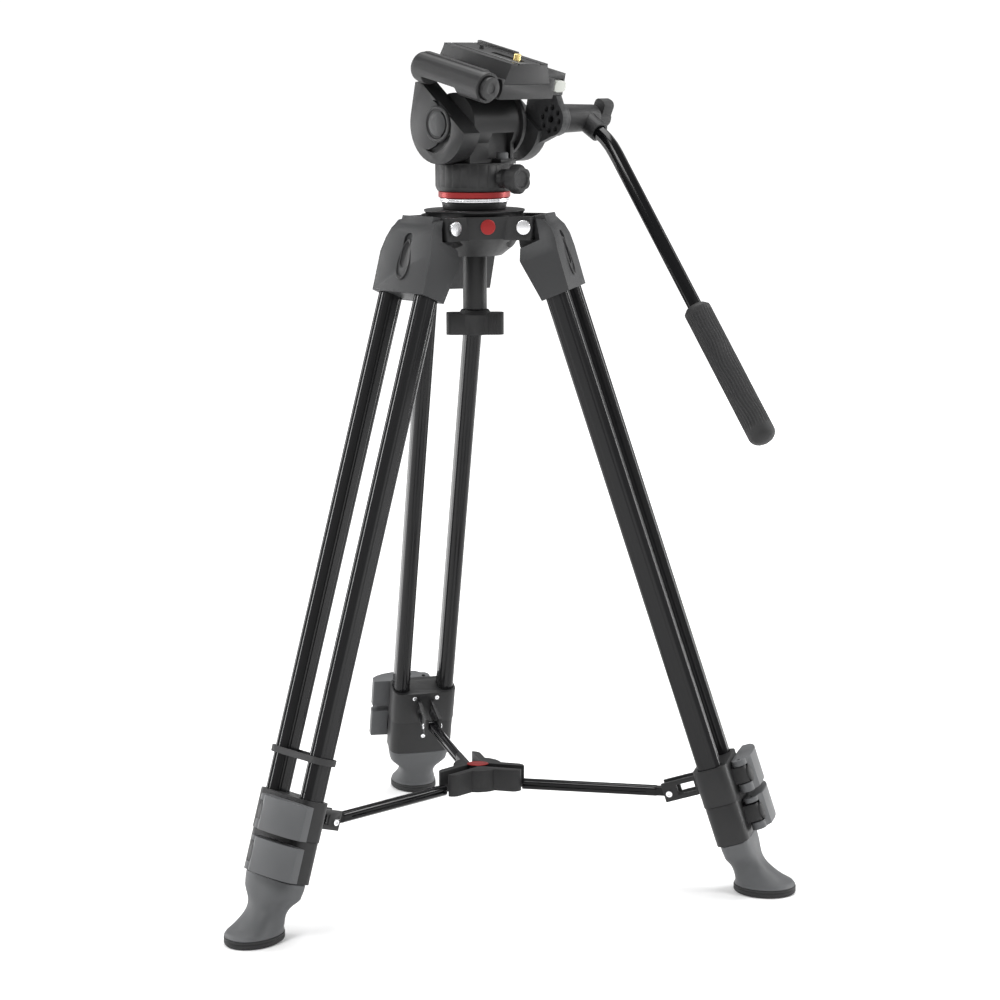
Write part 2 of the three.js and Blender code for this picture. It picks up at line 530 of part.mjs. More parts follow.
function addPanHousing(frame) {
  add(frame, 'scale_ring', ringRod('z', [0, 0, SCALE_RING_Z], SCALE_RING_H, SCALE_RING_R, SPINDLE_R + GAP, 36), 'red');
  const cup = turned([[0, CUP_Z], [CUP_R - 1.5, CUP_Z], [CUP_R, CUP_Z + 3], [CUP_R, CUP_TOP], [0, CUP_TOP]], 36);
  const saddle = block([BLOCK_LEFT, -20, CUP_TOP - 4], [BLOCK_RIGHT - 6, 20, TILT_AXIS_Z]);
  const drum = rod('x', [BLOCK_LEFT, 0, TILT_AXIS_Z], BLOCK_RIGHT - BLOCK_LEFT, DRUM_R, DRUM_R, 32);
  const flange = rod('x', [BLOCK_RIGHT - 4, 0, TILT_AXIS_Z], 4, DRUM_R + 4, DRUM_R + 4, 32);
  const knobBoss = rod('x', [16, 0, PAN_KNOB_Z], CUP_R - 12, 8.6, 8.2).rotate([0, 0, PAN_KNOB_AZIMUTH]);
  const ledge = block([2, -31, CUP_TOP - 1], [20, -18, CUP_TOP + 3]);
  const cheekRoom = (x0, x1) => rod('x', [x0, 0, TILT_AXIS_Z], x1 - x0, CHEEK_R + 1.2, CHEEK_R + 1.2, 32);
  const tools = [
    cheekRoom(CHEEK_LEFT - 2, BLOCK_LEFT + GAP),
    cheekRoom(BLOCK_RIGHT - GAP, CHEEK_RIGHT + 2),
    rod('x', [-60, 0, TILT_AXIS_Z], 130, AXLE_R + GAP),
    rod('z', [0, 0, CUP_Z - CUT], 16 + CUT, SPINDLE_R + GAP),
    rod('x', [SPINDLE_R + 2, 0, PAN_KNOB_Z], 40, 2.6 + GAP).rotate([0, 0, PAN_KNOB_AZIMUTH]),
    rod('z', [10, -24.5, CUP_TOP - 2], 20, 5.6),
    block([-2, -DRUM_R - 4, CUP_TOP + 3.2], [24, -15, TILT_AXIS_Z - 8]),
  ];
  add(frame, 'pan_housing', cut(join(cup, saddle, drum, flange, knobBoss, ledge), ...tools), 'casting');
  const vial = turned([[0, CUP_TOP - 1.6], [5.2, CUP_TOP - 1.6], [5.2, CUP_TOP + 8], [4.2, CUP_TOP + 9],
    [0, CUP_TOP + 9]], 20);
  add(frame, 'level_vial', vial.translate([10, -24.5, 0]), 'pale');
  const axle = rod('x', [CHEEK_LEFT + 4, 0, TILT_AXIS_Z], CHEEK_RIGHT - CHEEK_LEFT - 8, AXLE_R);
  add(frame, 'tilt_axle', axle, 'steel');
}

// A lobed hand knob about Z, from z = 0 upward.
function lobedKnob(r, height, lobes) {
  const shape = new THREE.Shape();
  const steps = lobes * 6;
  for (let i = 0; i <= steps; i += 1) {
    const angle = (2 * Math.PI * i) / steps;
    const reach = r * (0.9 + 0.1 * Math.cos(lobes * angle));
    shape[i ? 'lineTo' : 'moveTo'](reach * Math.cos(angle), reach * Math.sin(angle));
  }
  return slab(shape, 0, height, 'z', 1);
}

function addPanKnob(frame) {
  const turn = jointFrame(frame, 'pan_lock_joint', [0, 0, PAN_KNOB_Z], [0, 0, PAN_KNOB_AZIMUTH + 90]);
  const out = CUP_R + 5;
  const parts = join(
    rod('z', [0, 0, out], 6, 8.2, 8.2),
    lobedKnob(13, 12, 6).translate([0, 0, out + 5]),
    rod('z', [0, 0, SPINDLE_R + 4], out - SPINDLE_R, 2.6, 2.6, 16));
  add(turn, 'pan_lock_knob', parts.rotate([90, 0, 0]), 'rubber');
}

// ---- tilting cage: its frame has its origin on the tilt axis, +X along it, +Y to the front ------
const WING_X = 33;                  // right of this the platform's rear end is set back
const WING_REAR = -44;
const PLATFORM_TOP = PLATFORM_BOTTOM + PLATFORM_H;
const PLATE_BOTTOM = PLATFORM_TOP - 4;
const PLATE_TOP = PLATFORM_TOP + PLATE_H;
const LATCH_REAR = -54;
const LATCH_FRONT = 27;
const LATCH_BUTTON_R = 9.5;
const RELEASE_Z = PLATFORM_BOTTOM + PLATFORM_H / 2;

function cheekShape(rearTop, frontTop) {
  const shape = new THREE.Shape();
  shape.moveTo(rearTop, PLATFORM_BOTTOM - GAP);
  shape.absarc(0, 0, CHEEK_R, Math.PI, 2 * Math.PI);
  shape.lineTo(frontTop, PLATFORM_BOTTOM - GAP);
  return shape;
}

// The space that the latch and its swing take above the left cheek.
const latchRoom = () => rod('y', [LATCH_X, -70, LATCH_Z], 130, LATCH_R + 1.6, LATCH_R + 1.6, 28);

function addCheeks(frame) {
  const leftInner = BLOCK_LEFT - GAP;
  const blind = (x0, x1) => rod('x', [x0, 0, 0], x1 - x0, AXLE_R + GAP);
  const crescent = cut(rod('x', [CHEEK_LEFT - CUT, 4, -3], 4, 22, 22, 32), rod('x', [CHEEK_LEFT - 2, 14, -3], 8, 22));
  const left = cut(slab(cheekShape(-30, CHEEK_R), CHEEK_LEFT, leftInner, 'x', 10),
    blind(CHEEK_LEFT + 4 - GAP, leftInner + CUT), crescent, latchRoom());
  add(frame, 'cheek_left', left, 'casting');
  const inner = CHEEK_RIGHT - CHEEK_T;
  const ear = outline([[-10, PLATFORM_BOTTOM - GAP], [-43, PLATFORM_BOTTOM - GAP],
    [ROSETTE.y - 14.5, ROSETTE.z + 3], [ROSETTE.y - 4, ROSETTE.z - 14.4], [-10, -26]]);
  const arm = join(slab(ear, inner + 5, CHEEK_RIGHT, 'x'),
    rod('x', [inner + 5, ROSETTE.y, ROSETTE.z], CHEEK_T - 5, ROSETTE.r, ROSETTE.r, 28));
  const pockets = [...Array(8).keys()].map((i) => {
    const angle = (2 * Math.PI * i) / 8;
    return rod('x', [inner, ROSETTE.y + 10 * Math.cos(angle), ROSETTE.z + 10 * Math.sin(angle)], 9, 2.6, 2.6, 8);
  });
  const boltHole = rod('x', [inner, ROSETTE.y, ROSETTE.z], 30, 3 + GAP, 3 + GAP, 16);
  add(frame, 'cheek_right', cut(join(slab(cheekShape(-CHEEK_R, CHEEK_R), inner, CHEEK_RIGHT, 'x', 10), arm),
    blind(inner - CUT, CHEEK_RIGHT - 4 + GAP), boltHole, ...pockets), 'shoulder');
}

function addPlatform(frame) {
  const right = CHEEK_RIGHT;
  const left = -(PLATE_BASE_W / 2 + 3);
  const plan = outline([[left, PLATFORM_REAR], [WING_X, PLATFORM_REAR], [WING_X, WING_REAR], [right, WING_REAR],
    [right, PLATFORM_FRONT - 8], [right - 8, PLATFORM_FRONT], [left, PLATFORM_FRONT]]);
  const deck = slab(plan, PLATFORM_BOTTOM, PLATFORM_TOP);
  const wall = slab(outline([[PLATE_BASE_W / 2 + 1, PLATFORM_TOP - CUT], [right, PLATFORM_TOP - CUT],
    [right, PLATFORM_TOP + 2], [PLATE_TOP_W / 2 + 10, PLATFORM_TOP + 6], [PLATE_TOP_W / 2 + 4, PLATFORM_TOP + 6]]),
  WING_REAR, PLATFORM_FRONT - 9, 'y');
  const channel = plateProfile(GAP);
  const buttonHole = block([41, WING_REAR - CUT, RELEASE_Z - 5 - GAP], [59 - 4, WING_REAR + 9, RELEASE_Z + 5 + GAP]);
  add(frame, 'platform', cut(join(deck, wall), slab(channel, -90, 90, 'y'), latchRoom(), buttonHole), 'casting');
  const button = slab(roundedRect(14 - 2 * GAP, 10 - GAP, 4, 48, RELEASE_Z), WING_REAR - 5, WING_REAR + 4, 'y');
  const travel = jointFrame(frame, 'release_button_joint', [0, 0, 0]);
  add(travel, 'release_button', button, 'pale');
}

// Cross-section of the sliding camera plate, in X and Z: a dovetail foot under a narrower top.
function plateProfile(extra = 0) {
  const foot = PLATE_BASE_W / 2 + extra;
  const neck = PLATE_BASE_W / 2 - 3 + extra;
  const top = PLATE_TOP_W / 2 + extra;
  const z = PLATE_BOTTOM - extra;
  return outline([[-foot, z], [foot, z], [neck, z + 8], [top, PLATE_TOP - 2], [top, PLATE_TOP], [-top, PLATE_TOP],
    [-top, PLATE_TOP - 2], [-neck, z + 8]]);
}

function addPlate(frame) {
  const travel = jointFrame(frame, 'plate_joint', [0, 0, 0]);
  const body = slab(plateProfile(), PLATFORM_REAR, PLATE_FRONT, 'y');
  const slotShape = roundedRect(7, 38, 3.5, 0, -29);
  const slot = slab(slotShape, PLATE_BOTTOM - CUT, PLATE_TOP + CUT);
  const counterbore = slab(roundedRect(14, 45, 7, 0, -29), PLATE_BOTTOM - CUT, PLATE_TOP - 5);
  const strip = block([PLATE_TOP_W / 2 - 4, -20, PLATE_TOP - CUT], [PLATE_TOP_W / 2, PLATE_FRONT, PLATE_TOP + 2.2]);
  const pin = rod('z', [0, 4, PLATE_TOP - CUT], 4.2, 2, 2, 14);
  const grooves = [-1, 1].map((sign) =>
    block([sign * 13 - 0.8, PLATFORM_REAR - CUT, PLATE_TOP - 1], [sign * 13 + 0.8, PLATE_FRONT + CUT, PLATE_TOP + CUT]));
  add(travel, 'camera_plate', cut(join(body, strip, pin), slot, counterbore, ...grooves), 'casting');
  const turn = jointFrame(travel, 'camera_screw_joint', [0, -40, 0]);
  const screw = join(rod('z', [0, 0, PLATE_BOTTOM + 2], PLATE_H - 3, 6.2, 6.2, 20),
    rod('z', [0, 0, PLATE_BOTTOM + 3], PLATE_H + 6, 3.1, 3.1, 20));
  const kept = cut(screw, rod('z', [0, 0, PLATE_TOP - 5 - GAP], 4, 9), rod('z', [0, 0, PLATE_BOTTOM], 3, 1.2));
  const neck = rod('z', [0, 0, PLATE_BOTTOM + 5], PLATE_H + 4, 3.1, 3.1, 20);
  add(turn, 'camera_screw', join(kept, neck), 'brass');
}

// The long latch beside the plate swings outward about a line along its inner upper side.
function addLatch(frame) {
  const swing = jointFrame(frame, 'latch_joint', [LATCH_X + 8, 0, LATCH_Z + 8]);
  const place = [-(LATCH_X + 8), 0, -(LATCH_Z + 8)];
  const body = rod('y', [LATCH_X, LATCH_REAR, LATCH_Z], LATCH_FRONT - LATCH_REAR, LATCH_R, LATCH_R, 24);
  const end = placed(new THREE.SphereGeometry(LATCH_R, 24, 10).scale(1, 0.55, 1), [LATCH_X, LATCH_FRONT, LATCH_Z]);
  const rib = block([LATCH_X - 3, LATCH_REAR + 4, LATCH_Z + LATCH_R - 1.2], [LATCH_X + 3, LATCH_FRONT - 2, LATCH_Z + LATCH_R + 1]);
  const under = block([LATCH_X - 20, -26, LATCH_Z - 20], [LATCH_X + 20, 16, LATCH_Z - 6]);
  const bore = rod('y', [LATCH_X, LATCH_REAR - CUT, LATCH_Z], 12 + CUT, LATCH_BUTTON_R + GAP, LATCH_BUTTON_R + GAP, 28);
  add(swing, 'plate_latch', cut(join(body, end, rib), under, bore).translate(place), 'casting');
  const press = jointFrame(swing, 'latch_button_joint', [0, 0, 0]);
  const button = rod('y', [LATCH_X, LATCH_REAR - 4, LATCH_Z], 11, LATCH_BUTTON_R, LATCH_BUTTON_R, 28);
  const dimple = rod('y', [LATCH_X, LATCH_REAR - 5, LATCH_Z], 1.6, 4, 4, 20);
  add(press, 'latch_button', cut(button, dimple).translate(place), 'casting');
}

// ---- pan bar: its frame has its origin on the rosette axis, level with the ground --------------
function addPanBar(frame) {
  const swing = jointFrame(frame, 'pan_bar_joint', [0, ROSETTE.y, ROSETTE.z], [-HEAD_TILT, 0, 0]);
  const start = CHEEK_RIGHT + GAP;
  const disc = ringRod('x', [start, 0, 0], 3.4, ROSETTE.r - 1, 3 + GAP, 28);
  add(swing, 'rosette', disc, 'shoulder');
  const clampFrom = start + 3.4 + GAP;
  const barX = clampFrom + CLAMP_LENGTH - 11;
  const barrel = rod('x', [clampFrom, 0, 0], CLAMP_LENGTH, 12.5, 11.4, 32);
  const angle = rad(BAR_DROP - 22);
  const mouth = rod('x', [0, 0, 0], 23, 9.4, 8.8, 28).rotate([0, 0, -90]).rotate([BAR_DROP - 22, 0, 0]).translate([barX, 0, 0]);
  const bore = rod('x', [3, 0, 0], 40, BAR_R + GAP).rotate([0, 0, -90]).rotate([BAR_DROP - 22, 0, 0]).translate([barX, 0, 0]);
  const boltHole = rod('x', [clampFrom - CUT, 0, 0], CLAMP_LENGTH + 3, 3 + GAP, 3 + GAP, 16);
  add(swing, 'bar_clamp', cut(join(barrel, mouth), bore, boltHole), 'casting');
  const straight = new THREE.Vector3(0, -Math.cos(rad(BAR_DROP)), -Math.sin(rad(BAR_DROP)));
  const first = new THREE.Vector3(0, -Math.cos(angle), -Math.sin(angle));
  const origin = new THREE.Vector3(barX, 0, 0);
  const leave = origin.clone().addScaledVector(first, 24);
  const knee = leave.clone().addScaledVector(first, 13);
  const bendEnd = knee.clone().addScaledVector(straight, 13);
  const farEnd = bendEnd.clone().addScaledVector(straight, BAR_LENGTH);
  const path = new THREE.CurvePath();
  path.add(new THREE.LineCurve3(origin.clone().addScaledVector(first, 8), leave));
  path.add(new THREE.QuadraticBezierCurve3(leave, knee, bendEnd));
  path.add(new THREE.LineCurve3(bendEnd, farEnd));
  const section = new THREE.Shape();
  section.absarc(0, 0, BAR_R, 0, 2 * Math.PI);
  const geometry = new THREE.ExtrudeGeometry(section, { steps: 26, curveSegments: 4, extrudePath: path });
  add(swing, 'pan_bar', solidOf(geometry), 'gloss');
  const grip = new THREE.Group();
  grip.position.copy(farEnd).addScaledVector(straight, -22);
  grip.quaternion.setFromUnitVectors(new THREE.Vector3(0, 0, 1), straight);
  swing.add(grip);
  const handle = turned([[0, 0], [GRIP_R - 2.4, 0], [GRIP_R - 0.6, 6], [GRIP_R - 0.6, GRIP_LENGTH - 14], [GRIP_R, GRIP_LENGTH - 10],
    [GRIP_R, GRIP_LENGTH - 4], [GRIP_R - 3, GRIP_LENGTH], [0, GRIP_LENGTH]], 32);
  add(grip, 'pan_bar_grip', cut(handle, rod('z', [0, 0, -CUT], 22 + CUT + GAP, BAR_R + GAP, BAR_R + GAP, 28)), 'rubber');
  const turn = jointFrame(swing, 'bar_knob_joint', [clampFrom + CLAMP_LENGTH + GAP, 0, 0]);
  const wing = slab(roundedRect(13, 34, 5), 4, 16, 'x').rotate([25, 0, 0]);
  const knob = join(rod('x', [0, 0, 0], 16, 9, 8.2, 24), wing, rod('x', [-CLAMP_LENGTH - 5, 0, 0], CLAMP_LENGTH + 8, 3, 3, 16));
  add(turn, 'bar_knob', knob, 'rubber');
}

// ---- assembly -----------------------------------------------------------------------------
const tripod = new THREE.Group();

function addLeg(number) {
  const azimuth = new THREE.Group();
  azimuth.rotation.z = rad(LEG_AZIMUTH + 120 * (number - 1));
  tripod.add(azimuth);
  const id = `leg_${number}`;
  const leg = jointFrame(azimuth, `${id}_joint`, [LEG_PIVOT_R, 0, LEG_PIVOT_Z], [0, -LEG_TILT, 0]);
  addShoulder(leg, `${id}_shoulder`);
  for (const [side, sign] of Object.entries(sideNames)) {
    add(leg, `${id}_tube_${side}`, hollowTube(UPPER_TUBE, sign * TUBE_SPREAD, UPPER_TUBE_END, UPPER_TUBE_TOP), 'gloss');
  }
  addUpperLock(leg, `${id}_upper_lock`);
  addLever(leg, `${id}_upper_lever`, UPPER_LOCK_TOP, UPPER_LOCK_H);
  const middle = jointFrame(leg, `${id}_middle_joint`, [0, 0, 0]);
  addMiddleStage(middle, `${id}_middle_stage`);
  addLever(middle, `${id}_lower_lever`, LOWER_LOCK_TOP, LOWER_LOCK_H);
  const lower = jointFrame(middle, `${id}_lower_joint`, [0, 0, 0]);
  addLowerStage(lower, `${id}_lower_stage`);
  addSole(lower, `${id}_sole`);
  const [pivotX, pivotZ] = armPivotInLeg();
  const arm = jointFrame(leg, `${id}_arm_joint`, [pivotX, 0, pivotZ], [0, LEG_TILT - ARM_SLOPE, 0]);
  addArm(arm, `${id}_spreader_arm`);
  addHingeBolt(tripod, `${id}_hinge_bolt`, number - 1);
}

[1, 2, 3].forEach(addLeg);
addSpider(tripod);
const hub = jointFrame(tripod, 'hub_joint', [0, 0, 0]);
addHub(hub);
const ballX = jointFrame(tripod, 'ball_x_joint', [0, 0, BALL_CENTRE_Z]);
const cupFrame = jointFrame(ballX, 'clamp_cup_frame', [0, 0, -BALL_CENTRE_Z]);
addClampCup(cupFrame);
addHalfBall(cupFrame);
addStem(cupFrame);
const knobTurn = jointFrame(cupFrame, 'ball_knob_joint', [0, 0, 0]);
addBallKnob(knobTurn);
addHeadBase(cupFrame);
const pan = jointFrame(cupFrame, 'pan_joint', [0, 0, 0], [0, 0, HEAD_YAW]);
addPanHousing(pan);
addPanKnob(pan);
const cage = jointFrame(pan, 'tilt_joint', [0, 0, TILT_AXIS_Z], [HEAD_TILT, 0, 0]);
addCheeks(cage);
addPlatform(cage);
addPlate(cage);
addLatch(cage);
addPanBar(cage);

tripod.updateMatrixWorld(true);
const bounds = new THREE.Box3().setFromObject(tripod, true);
const middleOfBox = bounds.getCenter(new THREE.Vector3());
tripod.position.set(-middleOfBox.x, -middleOfBox.y, -bounds.min.z);
tripod.updateMatrixWorld(true);

export default tripod;
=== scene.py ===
import json
import math

import bmesh
import bpy
from mathutils import Matrix, Vector

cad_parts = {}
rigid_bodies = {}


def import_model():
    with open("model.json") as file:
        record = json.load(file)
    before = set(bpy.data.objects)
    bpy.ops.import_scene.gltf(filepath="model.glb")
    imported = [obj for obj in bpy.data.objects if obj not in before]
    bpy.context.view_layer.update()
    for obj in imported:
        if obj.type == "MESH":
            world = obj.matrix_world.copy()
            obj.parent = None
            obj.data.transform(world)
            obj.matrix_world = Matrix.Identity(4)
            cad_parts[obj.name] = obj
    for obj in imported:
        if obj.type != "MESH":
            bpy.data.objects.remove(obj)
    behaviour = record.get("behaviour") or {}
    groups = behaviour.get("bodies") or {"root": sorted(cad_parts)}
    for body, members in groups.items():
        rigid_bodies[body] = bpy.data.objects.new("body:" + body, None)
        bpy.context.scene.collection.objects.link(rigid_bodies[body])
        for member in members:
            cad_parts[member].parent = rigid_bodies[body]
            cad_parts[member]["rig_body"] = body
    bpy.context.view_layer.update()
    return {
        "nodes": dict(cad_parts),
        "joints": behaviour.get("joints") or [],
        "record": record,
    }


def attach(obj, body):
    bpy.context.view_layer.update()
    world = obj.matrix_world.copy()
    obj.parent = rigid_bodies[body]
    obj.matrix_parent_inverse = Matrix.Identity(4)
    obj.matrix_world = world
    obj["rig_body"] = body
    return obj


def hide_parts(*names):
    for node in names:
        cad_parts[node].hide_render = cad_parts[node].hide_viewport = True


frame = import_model()

MM = 0.001
JOINTS = {joint["name"]: joint for joint in frame["joints"]}
LEGS = ("leg_1", "leg_2", "leg_3")
SIDES = (-1, 1)

# sizes in millimetres that the CAD pieces' boxes don't give
TUBE_WALL = 1.3
TUBE_ROUND = 0.42               # corner radius of a leg tube, as a share of its depth
LOWER_TUBE = (14.6, 8.6)
LOCK_DEPTH = 30.5
LEVER_PIVOT_SIDE = -6           # lever pins, from the middle of the leg
CUP_R = 33.4
SPINDLE_BORE = 9.4


# ---- local frames, read from the CAD's joints -------------------------------------------------
def frame_at(origin, x_axis, z_hint):
    """Matrix of a local frame in millimetres: its X axis is given and its Z axis lies near a hint."""
    x = Vector(x_axis).normalized()
    y = Vector(z_hint).cross(x).normalized()
    z = x.cross(y)
    turn = Matrix((x, y, z)).transposed().to_4x4()
    return Matrix.Translation(Vector(origin)) @ turn @ Matrix.Scale(MM, 4)


def leg_frame(leg):
    """Origin on the leg's hinge, X outward, Y along the hinge, -Z down the leg."""
    hinge = Vector(JOINTS[leg + "_spread"]["axis"])
    up = -Vector(JOINTS[leg + "_middle_slide"]["axis"])
    return frame_at(JOINTS[leg + "_spread"]["pos_m"], hinge.cross(up), up)


def tilt_frame():
    """Origin on the tilt axis, X along it, Y to the front of the camera platform."""
    x = Vector(JOINTS["tilt"]["axis"])
    y = Vector(JOINTS["plate_slide"]["axis"])
    return frame_at(JOINTS["tilt"]["pos_m"], x, x.cross(y))


def upright(joint):
    """Origin on a joint, square to the ground."""
    return frame_at(JOINTS[joint]["pos_m"], (1, 0, 0), (0, 0, 1))


def ground_frame(leg):
    """Origin on the floor below the tripod's axis, X toward the leg's foot."""
    axis = Vector(JOINTS["level_side"]["pos_m"])
    outward = Vector(JOINTS[leg + "_spread"]["axis"]).cross(Vector((0, 0, 1)))
    return frame_at((axis.x, axis.y, 0), outward, (0, 0, 1))


def local_box(node, matrix):
    """Lowest and highest corner of a CAD node in a local frame, in millimetres."""
    inverse = matrix.inverted()
    points = [inverse @ v.co for v in frame["nodes"][node].data.vertices]
    low = Vector(min(p[i] for p in points) for i in range(3))
    high = Vector(max(p[i] for p in points) for i in range(3))
    return low, high


# ---- materials --------------------------------------------------------------------------------
def material(name, colour, roughness, metallic=0.0, grain=900.0, bump=0.1, spread=0.12, tint=0.12,
             specular=0.3, streak=None):
    """A finish with fine grain, uneven roughness, slightly uneven colour and a painted highlight on convex
    edges.
    """
    mat = bpy.data.materials.new(name)
    mat.use_nodes = True
    nodes, links = mat.node_tree.nodes, mat.node_tree.links
    shader = nodes["Principled BSDF"]
    shader.inputs["Metallic"].default_value = metallic
    shader.inputs["Specular IOR Level"].default_value = specular
    where = nodes.new("ShaderNodeTexCoord")
    mapping = nodes.new("ShaderNodeMapping")
    links.new(where.outputs["Object"], mapping.inputs["Vector"])
    if streak:
        mapping.inputs["Scale"].default_value = streak
    fine = nodes.new("ShaderNodeTexNoise")
    fine.inputs["Scale"].default_value = grain
    fine.inputs["Detail"].default_value = 4
    broad = nodes.new("ShaderNodeTexNoise")
    broad.inputs["Scale"].default_value = 38
    broad.inputs["Detail"].default_value = 5
    for texture in (fine, broad):
        links.new(mapping.outputs["Vector"], texture.inputs["Vector"])
    ramp = nodes.new("ShaderNodeMapRange")
    ramp.inputs["To Min"].default_value = max(roughness - spread, 0.03)
    ramp.inputs["To Max"].default_value = min(roughness + spread, 1)
    links.new(broad.outputs["Fac"], ramp.inputs["Value"])
    links.new(ramp.outputs["Result"], shader.inputs["Roughness"])
    mix = nodes.new("ShaderNodeMix")
    mix.data_type = "RGBA"
    mix.inputs["A"].default_value = (*[c * (1 - tint) for c in colour], 1)
    mix.inputs["B"].default_value = (*[min(c * (1 + tint), 1) for c in colour], 1)
    links.new(broad.outputs["Fac"], mix.inputs["Factor"])
    # Painted highlight: the base colour is lightened along convex edges, found by pointiness, to stand in for
    # light caught on ridges.
    edge = nodes.new("ShaderNodeNewGeometry")
    painted_edge_highlight = nodes.new("ShaderNodeMapRange")
    painted_edge_highlight.inputs["From Min"].default_value = 0.52
    painted_edge_highlight.inputs["From Max"].default_value = 0.62
    painted_edge_highlight.inputs["To Max"].default_value = 0.35
    links.new(edge.outputs["Pointiness"], painted_edge_highlight.inputs["Value"])
    edge_highlight_mix = nodes.new("ShaderNodeMix")
    edge_highlight_mix.data_type = "RGBA"
    edge_highlight_mix.inputs["B"].default_value = (*[min(c * 1.7 + 0.02, 1) for c in colour], 1)
    links.new(painted_edge_highlight.outputs["Result"], edge_highlight_mix.inputs["Factor"])
    links.new(mix.outputs["Result"], edge_highlight_mix.inputs["A"])
    links.new(edge_highlight_mix.outputs["Result"], shader.inputs["Base Color"])
    relief = nodes.new("ShaderNodeBump")
    relief.inputs["Strength"].default_value = bump
    relief.inputs["Distance"].default_value = 0.0004
    links.new(fine.outputs["Fac"], relief.inputs["Height"])
    links.new(relief.outputs["Normal"], shader.inputs["Normal"])
    return mat


MATERIALS = {
    "black_gloss": material("gloss_anodised", (0.003, 0.003, 0.0035), 0.15, 0.0, 500, 0.02, 0.04, 0.1, 0.2,
                            (1, 1, 0.05)),
    "black_casting": material("black_powder_coat", (0.012, 0.012, 0.0125), 0.47, 0.0, 1500, 0.25),
    "shoulder_casting": material("charcoal_moulding", (0.024, 0.0245, 0.0255), 0.5, 0.0, 1700, 0.3),
    "grey_plastic": material("grey_moulding", (0.078, 0.08, 0.083), 0.5, 0.0, 1700, 0.25, 0.1, 0.06),
    "black_rubber": material("black_rubber", (0.018, 0.018, 0.0185), 0.62, 0.0, 1100, 0.4),
    "bright_steel": material("turned_steel", (0.78, 0.78, 0.8), 0.26, 1.0, 700, 0.08, 0.08, 0.04),
    "red_anodised": material("red_anodised", (0.24, 0.016, 0.016), 0.34, 0.4, 800, 0.06, 0.08, 0.08),
    "brass": material("turned_brass", (0.72, 0.55, 0.22), 0.28, 1.0, 700, 0.08, 0.08, 0.05),
    "pale_plastic": material("pale_moulding", (0.4, 0.41, 0.38), 0.42, 0.0, 1500, 0.15, 0.1, 0.05),
}
SLOT_OF = {row["node"]: row["material_slot"] for row in frame["record"]["subparts"]}


# ---- mesh helpers -----------------------------------------------------------------------------
def make(name, points, faces, matrix, smooth=40):
    mesh = bpy.data.meshes.new(name)
    mesh.from_pydata([matrix @ Vector(p) for p in points], [], faces)
    bm = bmesh.new()
    bm.from_mesh(mesh)
    bmesh.ops.remove_doubles(bm, verts=bm.verts, dist=1e-7)
    bmesh.ops.recalc_face_normals(bm, faces=bm.faces)
    bm.to_mesh(mesh)
    bm.free()
    return link(name, mesh, smooth)


def link(name, mesh, smooth=40):
    obj = bpy.data.objects.new(name, mesh)
    bpy.context.scene.collection.objects.link(obj)
    mesh.shade_smooth()
    mesh.set_sharp_from_angle(angle=math.radians(smooth))
    return obj


def finish_piece(obj, slot, body, *nodes):
    obj.data.materials.clear()
    obj.data.materials.append(MATERIALS[slot])
    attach(obj, body)
    if nodes:
        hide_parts(*nodes)
    return obj


def apply_modifiers(obj, smooth=40):
    graph = bpy.context.evaluated_depsgraph_get()
    mesh = bpy.data.meshes.new_from_object(obj.evaluated_get(graph))
    obj.modifiers.clear()
    obj.data = mesh
    mesh.shade_smooth()
    mesh.set_sharp_from_angle(angle=math.radians(smooth))
    return obj


def bevelled(obj, width, segments=3, angle=30):
    """Rounds the edges of a piece by a width in millimetres."""
    bevel = obj.modifiers.new("edges", "BEVEL")
    bevel.width = width * MM
    bevel.segments = segments
    bevel.limit_method = "ANGLE"
    bevel.angle_limit = math.radians(angle)
    return apply_modifiers(obj)


def moulded(obj, voxel=0.8, rounds=6, keep=0.45):
    """Rounds every edge of a solid the way a moulding or casting is rounded."""
    remesh = obj.modifiers.new("skin", "REMESH")
    remesh.mode = "VOXEL"
    remesh.voxel_size = voxel * MM
    soften = obj.modifiers.new("soften", "SMOOTH")
    soften.iterations = rounds
    soften.factor = 0.5
    if keep < 1:
        thin = obj.modifiers.new("thin", "DECIMATE")
        thin.ratio = keep
    return apply_modifiers(obj, 60)


def copy_of(node, name):
    """A CAD node's surface as a new piece, with its flat facets joined."""
    bm = bmesh.new()
    bm.from_mesh(frame["nodes"][node].data)
    bmesh.ops.remove_doubles(bm, verts=bm.verts, dist=1e-7)
    bmesh.ops.dissolve_limit(bm, angle_limit=math.radians(1.5), verts=bm.verts, edges=bm.edges)
    mesh = bpy.data.meshes.new(name)
    bm.to_mesh(mesh)
    bm.free()
    return link(name, mesh)


def lathe(name, profile, matrix, sides=96, smooth=35):
    """Turned about the local Z axis from (radius, height) points."""
    points, faces = [], []
    for radius, z in profile:
        for i in range(sides):
            angle = 2 * math.pi * i / sides
            points.append((radius * math.cos(angle), radius * math.sin(angle), z))
    for row in range(len(profile) - 1):
        for i in range(sides):
            j = (i + 1) % sides
            faces.append((row * sides + i, row * sides + j, (row + 1) * sides + j, (row + 1) * sides + i))
    return make(name, points, faces, matrix, smooth)


def rounded_section(width, depth, radius, steps=8):
    """Points around a rectangle with round corners, anticlockwise from the right."""
    points = []
    for corner, (sx, sy) in enumerate(((1, 1), (-1, 1), (-1, -1), (1, -1))):
        for step in range(steps + 1):
            angle = math.pi / 2 * (corner + step / steps)
            points.append((sx * (width / 2 - radius) + radius * math.cos(angle),
                           sy * (depth / 2 - radius) + radius * math.sin(angle)))
    return points


